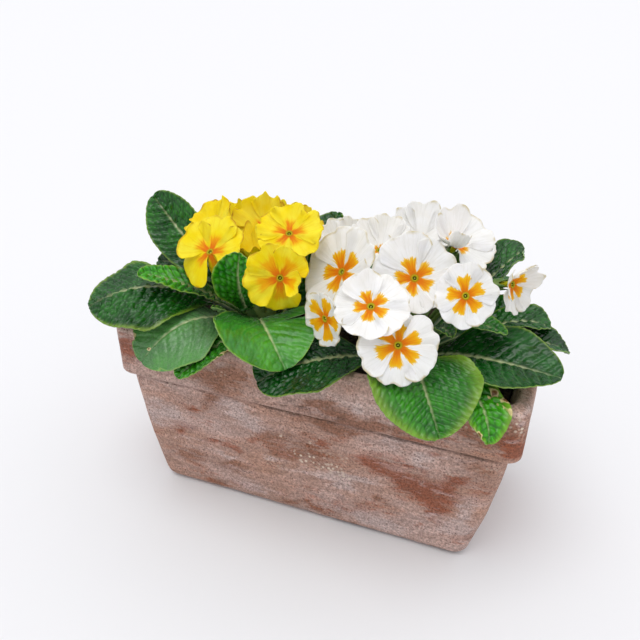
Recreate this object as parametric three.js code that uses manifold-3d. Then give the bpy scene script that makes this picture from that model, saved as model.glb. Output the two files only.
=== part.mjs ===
// Planted window box: a weathered terracotta trough that holds one yellow and one white
// primrose. Millimetres. +X runs along the trough, +Y to its back, +Z up. The origin is the
// middle of the underside, on the surface that the trough stands on.

import * as THREE from 'three';
import { mergeVertices } from 'three/addons/utils/BufferGeometryUtils.js';
import Module from 'manifold-3d';

const wasm = await Module();
wasm.setup();

// ---- Driving dimensions --------------------------------------------------------------

const RIM_LENGTH = 300;
const RIM_WIDTH = 130;
const HEIGHT = 140;
const BAND_HEIGHT = 42; // the thick band round the mouth
const BAND_STEP_SIDE = 5; // how far it stands out over the long walls
const BAND_STEP_END = 8; // and over the end walls
const BAND_FLARE = 0.5;
const FOOT_LENGTH = 244;
const FOOT_WIDTH = 116;
const END_BOW = 1.4; // the end walls curve in faster towards the foot
const CORNER = 9;
const CORNER_STEPS = 3;
const FOOT_ROUND = 8;
const BAND_ROUND = 5;
const LIP_ROUND = 4;
const WALL = 10;
const FLOOR = 12;
const CAVITY_ROUND = 8;
const DRAIN_RADIUS = 7;
const DRAIN_X = 88;

const CLEARANCE = 0.35; // between any two pieces that touch
const SOIL_TOP = 120;
const SOIL_MOUND = 2.5;
const SOIL_CRUMB = 1.3;

const CROWN_RADIUS = 12;
const CROWN_BOTTOM = 104;
const CROWN_TOP = 142;
const CROWN_SIDES = 14;
const CROWN_X = 60; // the two plants stand this far either side of the middle

const BLADE = 0.9; // leaf thickness
const PETIOLE = 4; // half width of a leaf at its root
const SHEATH = 0.75; // how far the root's face stands towards the crown
const PETAL = 0.8;
const EYE_RADIUS = 3;
const TUBE_RADIUS = 1.9;
const TUBE_LENGTH = 11;
const CALYX_RADIUS = 3.9;
const PEDICEL_RADIUS = 1.6;

// ---- Finishes ------------------------------------------------------------------------

function finish(colour, roughness) {
  return new THREE.MeshStandardMaterial({ color: colour, roughness, metalness: 0 });
}

const terracotta = finish(0xa67f70, 0.9);
const peat = finish(0x2e231b, 1);
const leafGreen = finish(0x2a6a2c, 0.5);
const stalkGreen = finish(0x8fae55, 0.6);
const petalYellow = finish(0xf2dc1e, 0.6);
const petalWhite = finish(0xf1f0ea, 0.6);

// ---- Solids --------------------------------------------------------------------------

const UP = new THREE.Vector3(0, 0, 1);

function geometryOf(points, triangles) {
  const geometry = new THREE.BufferGeometry().setFromPoints(points);
  geometry.setIndex(triangles.flat());
  return geometry;
}

function solidOf(geometry) {
  const bare = geometry.clone();
  bare.deleteAttribute('normal');
  bare.deleteAttribute('uv');
  const merged = mergeVertices(bare, 1e-3);
  return new wasm.Manifold(new wasm.Mesh({
    numProp: 3,
    vertProperties: new Float32Array(merged.attributes.position.array),
    triVerts: new Uint32Array(merged.index.array),
  }));
}

function geometryFrom(solid) {
  const { vertProperties, triVerts } = solid.getMesh();
  const geometry = new THREE.BufferGeometry();
  geometry.setAttribute('position', new THREE.BufferAttribute(vertProperties, 3));
  geometry.setIndex(new THREE.BufferAttribute(triVerts, 1));
  return geometry;
}

// A closed skin over rings of points with the same count, with a fan over each end ring.
function loft(rings) {
  const count = rings[0].length;
  const points = rings.flat();
  const triangles = [];
  for (let level = 0; level < rings.length - 1; level += 1) {
    for (let i = 0; i < count; i += 1) {
      const a = level * count + i;
      const b = level * count + ((i + 1) % count);
      triangles.push([a, b, b + count], [a, b + count, a + count]);
    }
  }
  const closeEnd = (ring, turn) => {
    const centre = rings[ring].reduce((sum, p) => sum.add(p), new THREE.Vector3());
    points.push(centre.divideScalar(count));
    for (let i = 0; i < count; i += 1) {
      const edge = [ring * count + i, ring * count + ((i + 1) % count)];
      triangles.push([points.length - 1, edge[turn], edge[1 - turn]]);
    }
  };
  closeEnd(0, 1);
  closeEnd(rings.length - 1, 0);
  return geometryOf(points, triangles);
}

function cylinder(radius, bottom, top, x, sides) {
  const geometry = new THREE.CylinderGeometry(radius, radius, top - bottom, sides);
  return geometry.rotateX(Math.PI / 2).translate(x, 0, (top + bottom) / 2);
}

// ---- The trough ----------------------------------------------------------------------

// A rounded rectangle at one height, counter-clockwise from above.
function roundedRing(halfLength, halfWidth, corner, height) {
  const ring = [];
  const centres = [[1, 1], [-1, 1], [-1, -1], [1, -1]];
  centres.forEach(([sx, sy], quarter) => {
    for (let i = 0; i <= CORNER_STEPS; i += 1) {
      const angle = (quarter + i / CORNER_STEPS) * (Math.PI / 2);
      const x = sx * (halfLength - corner) + corner * Math.cos(angle);
      const y = sy * (halfWidth - corner) + corner * Math.sin(angle);
      ring.push(new THREE.Vector3(x, y, height));
    }
  });
  return ring;
}

const BAND_BOTTOM = HEIGHT - BAND_HEIGHT;

function bodyHalves(height) {
  const drop = (BAND_BOTTOM - height) / BAND_BOTTOM;
  const topLength = RIM_LENGTH / 2 - BAND_STEP_END;
  const topWidth = RIM_WIDTH / 2 - BAND_STEP_SIDE;
  return {
    length: topLength + (FOOT_LENGTH / 2 - topLength) * drop ** END_BOW,
    width: topWidth + (FOOT_WIDTH / 2 - topWidth) * drop,
  };
}

function cavityHalves(height) {
  const rise = (height - FLOOR) / (HEIGHT - FLOOR);
  return {
    length: THREE.MathUtils.lerp(FOOT_LENGTH / 2 - WALL - 1, RIM_LENGTH / 2 - WALL, rise),
    width: THREE.MathUtils.lerp(FOOT_WIDTH / 2 - WALL - 1, RIM_WIDTH / 2 - WALL, rise),
  };
}

// A quarter round as [inset, rise] pairs, from the flat face round to the wall.
function quarterRound(radius, steps) {
  return Array.from({ length: steps + 1 }, (_, i) => {
    const angle = (i / steps) * (Math.PI / 2);
    return [radius * (1 - Math.sin(angle)), radius * (1 - Math.cos(angle))];
  });
}

function troughSolid() {
  const rings = [];
  for (const [inset, rise] of quarterRound(FOOT_ROUND, 3)) {
    const { length, width } = bodyHalves(rise);
    rings.push(roundedRing(length - inset, width - inset, CORNER, rise));
  }
  for (const height of [30, 53, 76, BAND_BOTTOM]) {
    const { length, width } = bodyHalves(height);
    rings.push(roundedRing(length, width, CORNER, height));
  }
  for (const [inset, rise] of quarterRound(BAND_ROUND, 2)) {
    const out = inset + BAND_FLARE;
    const height = BAND_BOTTOM + rise;
    rings.push(roundedRing(RIM_LENGTH / 2 - out, RIM_WIDTH / 2 - out, CORNER, height));
  }
  for (const [inset, rise] of quarterRound(LIP_ROUND, 2).reverse()) {
    const height = HEIGHT - rise;
    rings.push(roundedRing(RIM_LENGTH / 2 - inset, RIM_WIDTH / 2 - inset, CORNER, height));
  }
  for (const [inset, rise] of quarterRound(LIP_ROUND - 1, 2)) {
    const { length, width } = cavityHalves(HEIGHT - rise);
    rings.push(roundedRing(length + inset, width + inset, CORNER, HEIGHT - rise));
  }
  rings.push(...cavityRings(0, HEIGHT / 2));
  const drains = [-DRAIN_X, DRAIN_X].map(
    (x) => solidOf(cylinder(DRAIN_RADIUS, -5, FLOOR + 5, x, 16)));
  const shell = solidOf(loft(rings));
  return drains.reduce((solid, drain) => solid.subtract(drain), shell);
}

// The inside of the trough from a height down to its floor, drawn in by a clearance.
function cavityRings(clearance, top) {
  const { length, width } = cavityHalves(top);
  const rings = [roundedRing(length - clearance, width - clearance, CORNER, top)];
  for (const [inset, rise] of quarterRound(CAVITY_ROUND, 2).reverse()) {
    const height = FLOOR + rise;
    const half = cavityHalves(height);
    const shrink = inset + clearance;
    rings.push(roundedRing(half.length - shrink, half.width - shrink, CORNER, height + clearance));
  }
  return rings;
}

// ---- The soil ------------------------------------------------------------------------

function soilHeight(x, y) {
  const middle = 1 - (x / (RIM_LENGTH / 2)) ** 2;
  const crumb = Math.sin(x / 6.3 + 0.7) * Math.cos(y / 5.1) + Math.sin(y / 3.7 + x / 9.1);
  return SOIL_TOP + SOIL_MOUND * middle + SOIL_CRUMB * crumb;
}

function soilSolid() {
  const rings = cavityRings(CLEARANCE, HEIGHT / 2).reverse();
  const { length, width } = cavityHalves(SOIL_TOP - 4);
  const edge = roundedRing(length - CLEARANCE, width - CLEARANCE, CORNER, SOIL_TOP - 4);
  rings.push(edge);
  for (const share of [0.97, 0.8, 0.58, 0.32]) {
    rings.push(edge.map(({ x, y }) => {
      const inner = new THREE.Vector3(x * share, y * share, 0);
      inner.z = soilHeight(inner.x, inner.y);
      return inner;
    }));
  }
  const radius = (CROWN_RADIUS + CLEARANCE) / Math.cos(Math.PI / CROWN_SIDES);
  const holes = [-CROWN_X, CROWN_X].map((x) => solidOf(
    cylinder(radius, CROWN_BOTTOM - CLEARANCE, HEIGHT, x, CROWN_SIDES)));
  return holes.reduce((solid, hole) => solid.subtract(hole), solidOf(loft(rings)));
}

// ---- Leaves --------------------------------------------------------------------------

// Half the width of a leaf at t, from 0 at its root to 1 at its tip: a winged stalk that
// widens into a blade, broadest beyond its middle, with a round end.
function halfWidth(t, width) {
  const along = Math.max(0, (t - 0.16) / 0.84);
  const swell = Math.sin(Math.PI * along ** 1.36) ** (1 - along / 2);
  const stalk = PETIOLE * Math.sqrt(1 - t ** 6);
  return stalk + (width / 2 - PETIOLE) * Math.max(0, swell);
}

function leafSolid(leaf) {
  const { crown, angle, low, bend, tip, width } = leaf;
  const { roll = 0, cup = 0.12, fold = 0.1, wave = 0.06, phase = 0 } = leaf;
  const stations = 2 * Math.round(2 + width / 18);
  const across = width < 30 ? 2 : 4;
  const turn = THREE.MathUtils.degToRad(angle);
  const root = new THREE.Vector3(CROWN_RADIUS * Math.cos(turn), CROWN_RADIUS * Math.sin(turn), low);
  root.x += crown;
  const start = new THREE.Vector3(...bend).sub(root).normalize();
  const off = CLEARANCE + SHEATH * start.z;
  root.add(new THREE.Vector3(off * Math.cos(turn), off * Math.sin(turn), 0));
  const rib = new THREE.QuadraticBezierCurve3(
    root, new THREE.Vector3(...bend), new THREE.Vector3(...tip));
  const heading = new THREE.Vector3(tip[0] - root.x, tip[1] - root.y, 0).normalize();
  const rootSide = new THREE.Vector3(Math.sin(turn), -Math.cos(turn), 0);
  const bladeSide = leaf.side ? new THREE.Vector3(...leaf.side) : heading.clone().cross(UP);
  const rows = [];
  for (let i = 0; i <= stations; i += 1) {
    const t = (1 - (1 - i / stations) ** 1.25) * 0.992;
    const along = rib.getTangent(t);
    const centre = rib.getPoint(t);
    const turned = THREE.MathUtils.smoothstep(t, 0, 0.4);
    const level = rootSide.clone().lerp(bladeSide, turned);
    const side = level.addScaledVector(along, -level.dot(along)).normalize();
    side.applyAxisAngle(along, THREE.MathUtils.degToRad(roll * turned));
    const face = side.clone().cross(along);
    const scallop = i % 2 ? 1.03 : 0.97;
    const half = halfWidth(t, width) * scallop;
    const row = [];
    for (let j = 0; j <= across; j += 1) {
      const v = (2 * j) / across - 1;
      const ripple = wave * v * v * Math.sin(6.2 * Math.PI * t + phase + Math.sign(v) * 1.3);
      const lift = half * (cup * v * v + fold * Math.abs(v) + ripple);
      const spread = half * v * Math.cos(Math.atan(fold + cup));
      row.push(centre.clone().addScaledVector(side, spread).addScaledVector(face, lift));
    }
    rows.push(row);
  }
  return bladeFrom(rows, (i, j) => (j === across / 2 ? 0.5 + 1.4 * (1 - i / stations) : 0));
}

// A thin closed blade over a grid of points, split alike on both faces. ridge(i, j) is how
// far the underside stands out below the plain blade.
function bladeFrom(rows, ridge) {
  const last = rows.length - 1;
  const end = rows[0].length - 1;
  const at = (i, j) => rows[Math.min(Math.max(i, 0), last)][Math.min(Math.max(j, 0), end)];
  const upper = [];
  const lower = [];
  rows.forEach((row, i) => row.forEach((point, j) => {
    const along = at(i + 1, j).clone().sub(at(i - 1, j));
    const sideways = at(i, j + 1).clone().sub(at(i, j - 1));
    const normal = sideways.cross(along).normalize();
    upper.push(point.clone().addScaledVector(normal, BLADE / 2));
    lower.push(point.clone().addScaledVector(normal, -BLADE / 2 - ridge(i, j)));
  }));
  const size = upper.length;
  const index = (i, j) => i * (end + 1) + j;
  const triangles = [];
  for (let i = 0; i < last; i += 1) {
    for (let j = 0; j < end; j += 1) {
      const [a, b, c, d] = [index(i, j), index(i, j + 1), index(i + 1, j + 1), index(i + 1, j)];
      const split = j < end / 2 ? [[a, b, c], [a, c, d]] : [[a, b, d], [b, c, d]];
      for (const [p, q, r] of split) {
        triangles.push([p, q, r], [p + size, r + size, q + size]);
      }
    }
  }
  const rim = [];
  for (let j = 0; j < end; j += 1) rim.push(index(0, j));
  for (let i = 0; i < last; i += 1) rim.push(index(i, end));
  for (let j = end; j > 0; j -= 1) rim.push(index(last, j));
  for (let i = last; i > 0; i -= 1) rim.push(index(i, 0));
  rim.forEach((p, k) => {
    const q = rim[(k + 1) % rim.length];
    triangles.push([q, p, p + size], [q, p + size, q + size]);
  });
  return geometryOf([...upper, ...lower], triangles);
}

// ---- Blooms --------------------------------------------------------------------------

const OUTLINE = [0.76, 0.98, 0.92, 0.98]; // valley, shoulder, notch, shoulder of a petal

// The way a bloom faces, from its compass angle and its height above level, in degrees.
function facing([azimuth, elevation]) {
  const a = THREE.MathUtils.degToRad(azimuth);
  const e = THREE.MathUtils.degToRad(elevation);
  return new THREE.Vector3(Math.cos(a) * Math.cos(e), Math.sin(a) * Math.cos(e), Math.sin(e));
}

function bloomAxes(bloom) {
  const z = facing(bloom.face);
  const x = UP.clone().cross(z).normalize();
  return new THREE.Matrix4().makeBasis(x, z.clone().cross(x), z);
}

function place(geometry, bloom) {
  const [x, y, z] = bloom.at;
  return geometry.applyMatrix4(bloomAxes(bloom)).translate(x, y, z);
}

// Five heart-shaped petals round a narrow tube, as one thin closed body. A petal's lift is
// the angle at which it rises from level, and it curves up a little towards its edge.
function bloomSolid(bloom) {
  const { lifts, spin, ripple = 1 } = bloom;
  const petals = lifts.length;
  const columns = 4 * petals;
  const radius = bloom.across / 2;
  const points = [];
  const ringOf = (share, offset) => {
    const first = points.length;
    for (let k = 0; k < columns; k += 1) {
      const petal = Math.floor(k / 4);
      const before = lifts[(petal + petals - 1) % petals];
      const lift = k % 4 ? lifts[petal] : (lifts[petal] + before) / 2;
      const slope = THREE.MathUtils.degToRad(lift * (0.6 + 0.4 * share));
      const reach = (radius * OUTLINE[k % 4] - EYE_RADIUS) * share;
      const angle = THREE.MathUtils.degToRad(spin + ((k - 2) * 360) / columns);
      const out = EYE_RADIUS + reach * Math.cos(slope);
      const wave = [0, ripple, 0, -ripple][k % 4] * share * share;
      const height = reach * Math.sin(slope) + wave + offset;
      points.push(new THREE.Vector3(out * Math.cos(angle), out * Math.sin(angle), height));
    }
    return first;
  };
  const triangles = [];
  const band = (inner, outer) => {
    for (let k = 0; k < columns; k += 1) {
      const next = (k + 1) % columns;
      const quad = [inner + k, outer + k, outer + next, inner + next];
      const [a, b, c, d] = quad;
      triangles.push(...(k % 2 ? [[a, b, d], [b, c, d]] : [[a, b, c], [a, c, d]]));
    }
  };
  const shares = [0, 0.55, 1];
  const above = shares.map((share) => ringOf(share, PETAL / 2));
  const below = shares.map((share) => ringOf(share, -PETAL / 2));
  band(above[0], above[1]);
  band(above[1], above[2]);
  const underside = triangles.map(([a, b, c]) => [a, c, b].map((i) => i + below[0]));
  triangles.push(...underside);
  band(above[2], below[2]);
  const throat = points.push(new THREE.Vector3(0, 0, PETAL / 2 - 1.5)) - 1;
  for (let k = 0; k < columns; k += 1) {
    triangles.push([throat, above[0] + k, above[0] + ((k + 1) % columns)]);
  }
  const tube = [-3.5, -TUBE_LENGTH].map((depth) => {
    const first = points.length;
    for (let petal = 0; petal < petals; petal += 1) {
      const angle = THREE.MathUtils.degToRad(spin + (petal * 360) / petals);
      const x = TUBE_RADIUS * Math.cos(angle);
      points.push(new THREE.Vector3(x, TUBE_RADIUS * Math.sin(angle), depth));
    }
    return first;
  });
  for (let petal = 0; petal < petals; petal += 1) {
    const next = (petal + 1) % petals;
    for (let k = 0; k < 4; k += 1) {
      const column = below[0] + ((4 * petal + 2 + k) % columns);
      const beyond = below[0] + ((4 * petal + 3 + k) % columns);
      triangles.push([beyond, column, tube[0] + (k < 2 ? petal : next)]);
    }
    const middle = below[0] + ((4 * petal + 4) % columns);
    triangles.push([middle, tube[0] + petal, tube[0] + next]);
    triangles.push([tube[0] + petal, tube[1] + petal, tube[1] + next]);
    triangles.push([tube[0] + petal, tube[1] + next, tube[0] + next]);
  }
  for (let petal = 1; petal < petals - 1; petal += 1) {
    triangles.push([tube[1], tube[1] + petal + 1, tube[1] + petal]);
  }
  return place(geometryOf(points, triangles), bloom);
}

// ---- Crown, flower stalks and calyces -------------------------------------------------

function calyxSolid(bloom) {
  const back = -TUBE_LENGTH - CLEARANCE;
  const profile = [
    [0, back - 5], [PEDICEL_RADIUS, back - 5], [CALYX_RADIUS * 0.8, back - 1],
    [CALYX_RADIUS, back + 7], [TUBE_RADIUS + 1.1, back + 7], [TUBE_RADIUS + 1, back], [0, back],
  ].map(([r, z]) => new THREE.Vector2(r, z));
  const cup = new THREE.LatheGeometry(profile, 5).rotateX(Math.PI / 2);
  const spin = THREE.MathUtils.degToRad((bloom.spin ?? 90) + 90);
  return solidOf(place(cup.rotateZ(spin), bloom));
}

function pedicelSolid(bloom, crown) {
  const nod = facing(bloom.face);
  const end = new THREE.Vector3(...bloom.at).addScaledVector(nod, -TUBE_LENGTH - 4);
  const across = new THREE.Vector3(end.x - crown, end.y, 0);
  const spread = Math.min(1, across.length() / 40) * (CROWN_RADIUS - 4);
  const start = across.clone().normalize().multiplyScalar(spread);
  start.add(new THREE.Vector3(crown, 0, CROWN_TOP - 6));
  const rise = end.z - start.z;
  const curve = new THREE.CubicBezierCurve3(
    start,
    start.clone().add(new THREE.Vector3(0, 0, rise * 0.45)),
    end.clone().addScaledVector(nod, -rise * 0.3),
    end);
  const section = new THREE.Shape();
  for (let i = 0; i < 4; i += 1) {
    const angle = (i / 4) * 2 * Math.PI;
    const [x, y] = [PEDICEL_RADIUS * Math.cos(angle), PEDICEL_RADIUS * Math.sin(angle)];
    if (i) section.lineTo(x, y);
    else section.moveTo(x, y);
  }
  const tube = new THREE.ExtrudeGeometry(section, { steps: 4, extrudePath: curve });
  return solidOf(tube);
}

function stalksSolid(crown, blooms) {
  const profile = [
    [0, CROWN_BOTTOM], [CROWN_RADIUS - 2, CROWN_BOTTOM], [CROWN_RADIUS, CROWN_BOTTOM + 6],
    [CROWN_RADIUS, CROWN_TOP - 3], [CROWN_RADIUS - 3, CROWN_TOP], [0, CROWN_TOP],
  ].map(([r, z]) => new THREE.Vector2(r, z));
  const barrel = new THREE.LatheGeometry(profile, CROWN_SIDES).rotateX(Math.PI / 2);
  const base = solidOf(barrel.translate(crown, 0, 0));
  return blooms.reduce(
    (solid, bloom) => solid.add(pedicelSolid(bloom, crown)).add(calyxSolid(bloom)), base);
}

// ---- The two plants ------------------------------------------------------------------

// A bloom: the middle of its face, the way it faces (compass angle, height), its breadth,
// and the lift of each petal, counter-clockwise from the one that stands at spin, which is
// the top unless it is given.
const YELLOW_BLOOMS = [
  { at: [-80.4, -35.2, 198.1], face: [-105.9, 54], across: 58, lifts: [14, 14, -24, -70, 10] },
  { at: [-23.5, -44.2, 192.8], face: [-68, 20], across: 52, lifts: [-28, 60, 34, 12, 8], spin: -90 },
  { at: [-28.9, -15.3, 212.4], face: [-71, 60], across: 48, lifts: [14, 10, 8, 5, 12] },
  { at: [-53.8, -16.6, 191.3], face: [-104.5, 79.7], across: 50, lifts: [50, 46, 44, 50, 52] },
  { at: [-98, 3.8, 198.3], face: [-129.7, 59.1], across: 50, lifts: [28, 22, 10, 14, 28] },
  { at: [-62.5, 14.9, 200.3], face: [-94, 63.1], across: 50, lifts: [40, 32, 12, 16, 36] },
  { at: [-91.8, 33.1, 188], face: [-115, 59.4], across: 46, lifts: [42, 34, 14, 14, 36] },
  { at: [-38.6, 26.2, 196], face: [-59.4, 64.6], across: 42, lifts: [40, 32, 12, 14, 30] },
  { at: [-58, 54, 188], face: [92, 18], across: 42, lifts: [10, 10, 6, 6, 12] },
];

const WHITE_BLOOMS = [
  { at: [12.3, -21.8, 193.7], face: [-120.7, 37.1], across: 66, lifts: [14, 10, 2, 10, 22], spin: 60 },
  { at: [62.9, -24.1, 199.6], face: [-72.2, 37.2], across: 60, lifts: [12, 10, 34, 32, 10], spin: 112 },
  { at: [46.7, -66.6, 196.9], face: [-80.8, 60.1], across: 49, lifts: [26, 8, 8, 2, 2], spin: 120 },
  {
    at: [67.3, -74.9, 178.8], face: [-65.7, 32.9], across: 52, lifts: [-34, -10, 8, 4, 6, -4],
    spin: 80,
  },
  { at: [14.4, -59.4, 177.8], face: [-118, 4], across: 38, lifts: [8, 8, 4, 4, 8], spin: 80 },
  { at: [98.4, -36.4, 199.7], face: [-60, 30], across: 42, lifts: [12, 10, 6, 6, 10], spin: 95 },
  { at: [123, -8, 199], face: [-25, 20], across: 42, lifts: [60, 34, 10, 10, 50] },
  { at: [29.8, 7.3, 200.3], face: [-95.8, 75.1], across: 56, lifts: [36, 38, 24, 24, 38] },
  { at: [81.3, 10.5, 211.9], face: [-50, 60], across: 54, lifts: [40, 45, 74, 6, 12] },
  { at: [51.1, 38.5, 199.5], face: [-82.2, 72.3], across: 58, lifts: [44, 40, 28, 28, 40] },
  { at: [82.4, 49.8, 196], face: [-20, 72], across: 46, lifts: [12, 16, 20, 12, 6] },
  { at: [-0.7, 18.9, 191.2], face: [-114.7, 63.1], across: 52, lifts: [42, 36, 40, 40, 34] },
  { at: [31.1, 50.8, 191.2], face: [115.6, 32.4], across: 44, lifts: [14, 10, 6, 6, 12] },
  { at: [51.9, 64.7, 186.7], face: [84.2, 24.6], across: 40, lifts: [14, 10, 6, 6, 12] },
];

// A leaf: its compass angle and height at the crown, the point that its rib bends towards,
// its tip, its width, and the roll of its face about the rib. Curled leaves have their own
// cup, fold, wave or side as well.
const YELLOW_LEAVES = [
  { angle: 165, low: 136, bend: [-125, 12, 174], tip: [-169, 34, 204], width: 46, roll: -58 },
  {
    angle: 206.1, low: 132.7, bend: [-112.6, -49.3, 193.3], tip: [-159, -75.6, 159.2], width: 74,
    roll: -14, fold: -0.32,
  },
  {
    angle: 220, low: 138, bend: [-92.8, -42.1, 177.3], tip: [-128, -56.1, 182.8], width: 26,
    roll: -15,
  },
  { angle: 168, low: 125, bend: [-110, 18, 162], tip: [-160, 17, 155], width: 36, roll: -28 },
  {
    angle: 268.7, low: 139, bend: [-56, -51.7, 178.5], tip: [-51.7, -46.2, 207.1], width: 36,
    roll: 7, cup: 0.3, side: [1, 0, 0],
  },
  { angle: 254.5, low: 130, bend: [-68.5, -37.4, 154.1], tip: [-76.7, -44.1, 159.9], width: 14 },
  {
    angle: 230.5, low: 128.1, bend: [-85.9, -61.7, 177.4], tip: [-113.2, -86, 129.5], width: 70,
    roll: -12.5, fold: -0.15,
  },
  { angle: 275.4, low: 124, bend: [-51.5, -47.2, 158], tip: [-79.6, -93.9, 130], width: 36, roll: 4 },
  {
    angle: 296.8, low: 127.1, bend: [-41.8, -53, 184.4], tip: [-4.6, -79.9, 146.3], width: 74,
    roll: -4.1,
  },
  { angle: 350, low: 132, bend: [-24, -6, 160], tip: [-18, -5, 200], width: 30, side: [1, 0, 0] },
  { angle: 45.3, low: 134, bend: [-30.4, 27.1, 177.5], tip: [-20.1, 62.2, 201.4], width: 38 },
  { angle: 20, low: 126, bend: [-24, 22, 170], tip: [6, 44, 156], width: 42 },
  { angle: 70.8, low: 126, bend: [-43.2, 51.8, 166.5], tip: [-32, 92, 148], width: 44 },
  { angle: 114, low: 127, bend: [-80, 50, 170], tip: [-98, 92, 154], width: 48 },
  { angle: 139, low: 131, bend: [-98, 40, 178], tip: [-140, 78, 168], width: 46 },
];

const WHITE_LEAVES = [
  { angle: 237.1, low: 127, bend: [10, -66, 160], tip: [-24.5, -84, 134], width: 66, roll: -12 },
  {
    angle: 283.5, low: 129.2, bend: [72.5, -64.1, 177.4], tip: [102.6, -96.6, 133.4], width: 74,
    roll: -1.5,
  },
  { angle: 323.1, low: 129.9, bend: [87.9, -28, 159], tip: [164.1, -41.7, 158.5], width: 58, roll: 16 },
  {
    angle: 310.9, low: 126, bend: [123.9, -61.6, 161.2], tip: [129.8, -80.5, 125.3], width: 32,
    roll: 1.6, cup: 0.25, wave: 0.22,
  },
  { angle: 12, low: 132, bend: [131.1, 16.1, 173], tip: [151, 15, 160], width: 38, roll: -2.3 },
  {
    angle: 359.8, low: 125.1, bend: [139.8, -2.5, 169.7], tip: [165.1, 0.6, 152.5], width: 42,
    roll: -10,
  },
  { angle: 44, low: 135, bend: [114.8, 54.4, 192.9], tip: [122.8, 54.9, 196.7], width: 56, roll: -18 },
  { angle: 344, low: 135.5, bend: [81.2, -10, 179.2], tip: [126, -24.9, 171.9], width: 22, roll: 2.2 },
  { angle: 300, low: 139, bend: [79.6, -24.6, 178.3], tip: [94, -40, 171], width: 16 },
  { angle: 64, low: 128, bend: [86, 52, 172], tip: [108, 92, 156], width: 44 },
  { angle: 106, low: 127, bend: [47, 47.2, 169.7], tip: [36, 94.2, 151.9], width: 46 },
  { angle: 148, low: 129, bend: [33.7, 24.2, 172.9], tip: [1.8, 60.5, 158.9], width: 40 },
  { angle: 38, low: 126, bend: [102, 31, 166], tip: [142, 59.9, 145], width: 38 },
  { angle: 190, low: 131, bend: [36, -6, 164], tip: [15, -9, 164], width: 28 },
];

function numbered(name, index) {
  return `${name}_${String(index + 1).padStart(2, '0')}`;
}

function addPlant(group, plant) {
  const { crown, side, colour, petal, blooms, leaves } = plant;
  const add = (name, geometry, material) => {
    const mesh = new THREE.Mesh(geometry, material);
    mesh.name = name;
    group.add(mesh);
  };
  const full = blooms.map((bloom) => ({ spin: 90, ...bloom }));
  add(`stalks_${colour}`, geometryFrom(stalksSolid(crown, full)), stalkGreen);
  full.forEach((bloom, i) => add(numbered(`bloom_${colour}`, i), bloomSolid(bloom), petal));
  leaves.forEach((leaf, i) => add(
    numbered(`leaf_${side}`, i), leafSolid({ crown, ...leaf }), leafGreen));
}

const windowBox = new THREE.Group();
const trough = new THREE.Mesh(geometryFrom(troughSolid()), terracotta);
trough.name = 'trough';
const soil = new THREE.Mesh(geometryFrom(soilSolid()), peat);
soil.name = 'soil';
windowBox.add(trough, soil);
addPlant(windowBox, {
  crown: -CROWN_X, side: 'left', colour: 'yellow', petal: petalYellow,
  blooms: YELLOW_BLOOMS, leaves: YELLOW_LEAVES,
});
addPlant(windowBox, {
  crown: CROWN_X, side: 'right', colour: 'white', petal: petalWhite,
  blooms: WHITE_BLOOMS, leaves: WHITE_LEAVES,
});

export default windowBox;
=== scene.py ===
# %% [markdown]
# # A planted window box
#
# This is a small terracotta trough, dusty from years outdoors, with a yellow and a white primrose
# growing in it. The solids that fix its size come first, as a frame. Every surface that shows is
# then worked out with numpy from a formula with two parameters, and stands in the place of its
# solid. Lengths are written in millimetres, and `MM` turns them into metres.

import bpy
import numpy as np
from mathutils import Matrix


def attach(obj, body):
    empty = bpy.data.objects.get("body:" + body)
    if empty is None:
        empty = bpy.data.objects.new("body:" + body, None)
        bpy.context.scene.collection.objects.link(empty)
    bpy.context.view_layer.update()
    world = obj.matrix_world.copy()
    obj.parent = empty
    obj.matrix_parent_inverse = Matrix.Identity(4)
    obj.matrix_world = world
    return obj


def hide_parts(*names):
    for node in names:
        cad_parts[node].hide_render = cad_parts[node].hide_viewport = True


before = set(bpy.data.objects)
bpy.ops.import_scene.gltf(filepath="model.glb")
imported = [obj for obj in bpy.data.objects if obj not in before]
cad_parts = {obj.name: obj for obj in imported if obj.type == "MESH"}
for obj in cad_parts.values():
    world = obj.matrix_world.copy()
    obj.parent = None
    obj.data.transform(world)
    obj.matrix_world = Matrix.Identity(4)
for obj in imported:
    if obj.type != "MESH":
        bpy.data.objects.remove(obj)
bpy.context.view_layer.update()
MM = 0.001
UP = np.array([0.0, 0.0, 1.0])
print("solids in the frame:", len(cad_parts))

# %% [markdown]
# ## Small tools for arrays
#
# Leaves, petals and stalks need the same few things again and again: a vector of length one, a
# soft step, a bell, points round an axis, a smooth wandering value for unevenness, and an
# irregular net for veins and clods. All of them work on whole arrays at once.

# %% Vectors, steps, ripples and nets
HASH_U, HASH_V = (127.1, 311.7, 43758.5453), (269.5, 183.3, 28001.8384)
JITTER = 0.7  # how far the seeds of a net wander in their squares


def unit(vectors):
    """Each vector divided by its own length."""
    return vectors / np.linalg.norm(vectors, axis=-1, keepdims=True)


def smooth(value, low, high):
    """0 below low, 1 above high, and 3 x squared minus 2 x cubed in between."""
    x = np.clip((value - low) / (high - low), 0, 1)
    return x * x * (3 - 2 * x)


def bell(off, width):
    """1 where off is 0, falling on both sides: e to the power of minus (off / width) squared."""
    return np.exp(-((off / width) ** 2))


def turns(count):
    """Angles of equal steps round a circle."""
    return np.linspace(0, 2 * np.pi, count + 1)[:-1]


def round_points(radius, angle, height):
    """Points at a radius, an angle and a height: radius times cosine, radius times sine."""
    x, y = radius * np.cos(angle), radius * np.sin(angle)
    return np.stack(np.broadcast_arrays(x, y, height), axis=-1)


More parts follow.
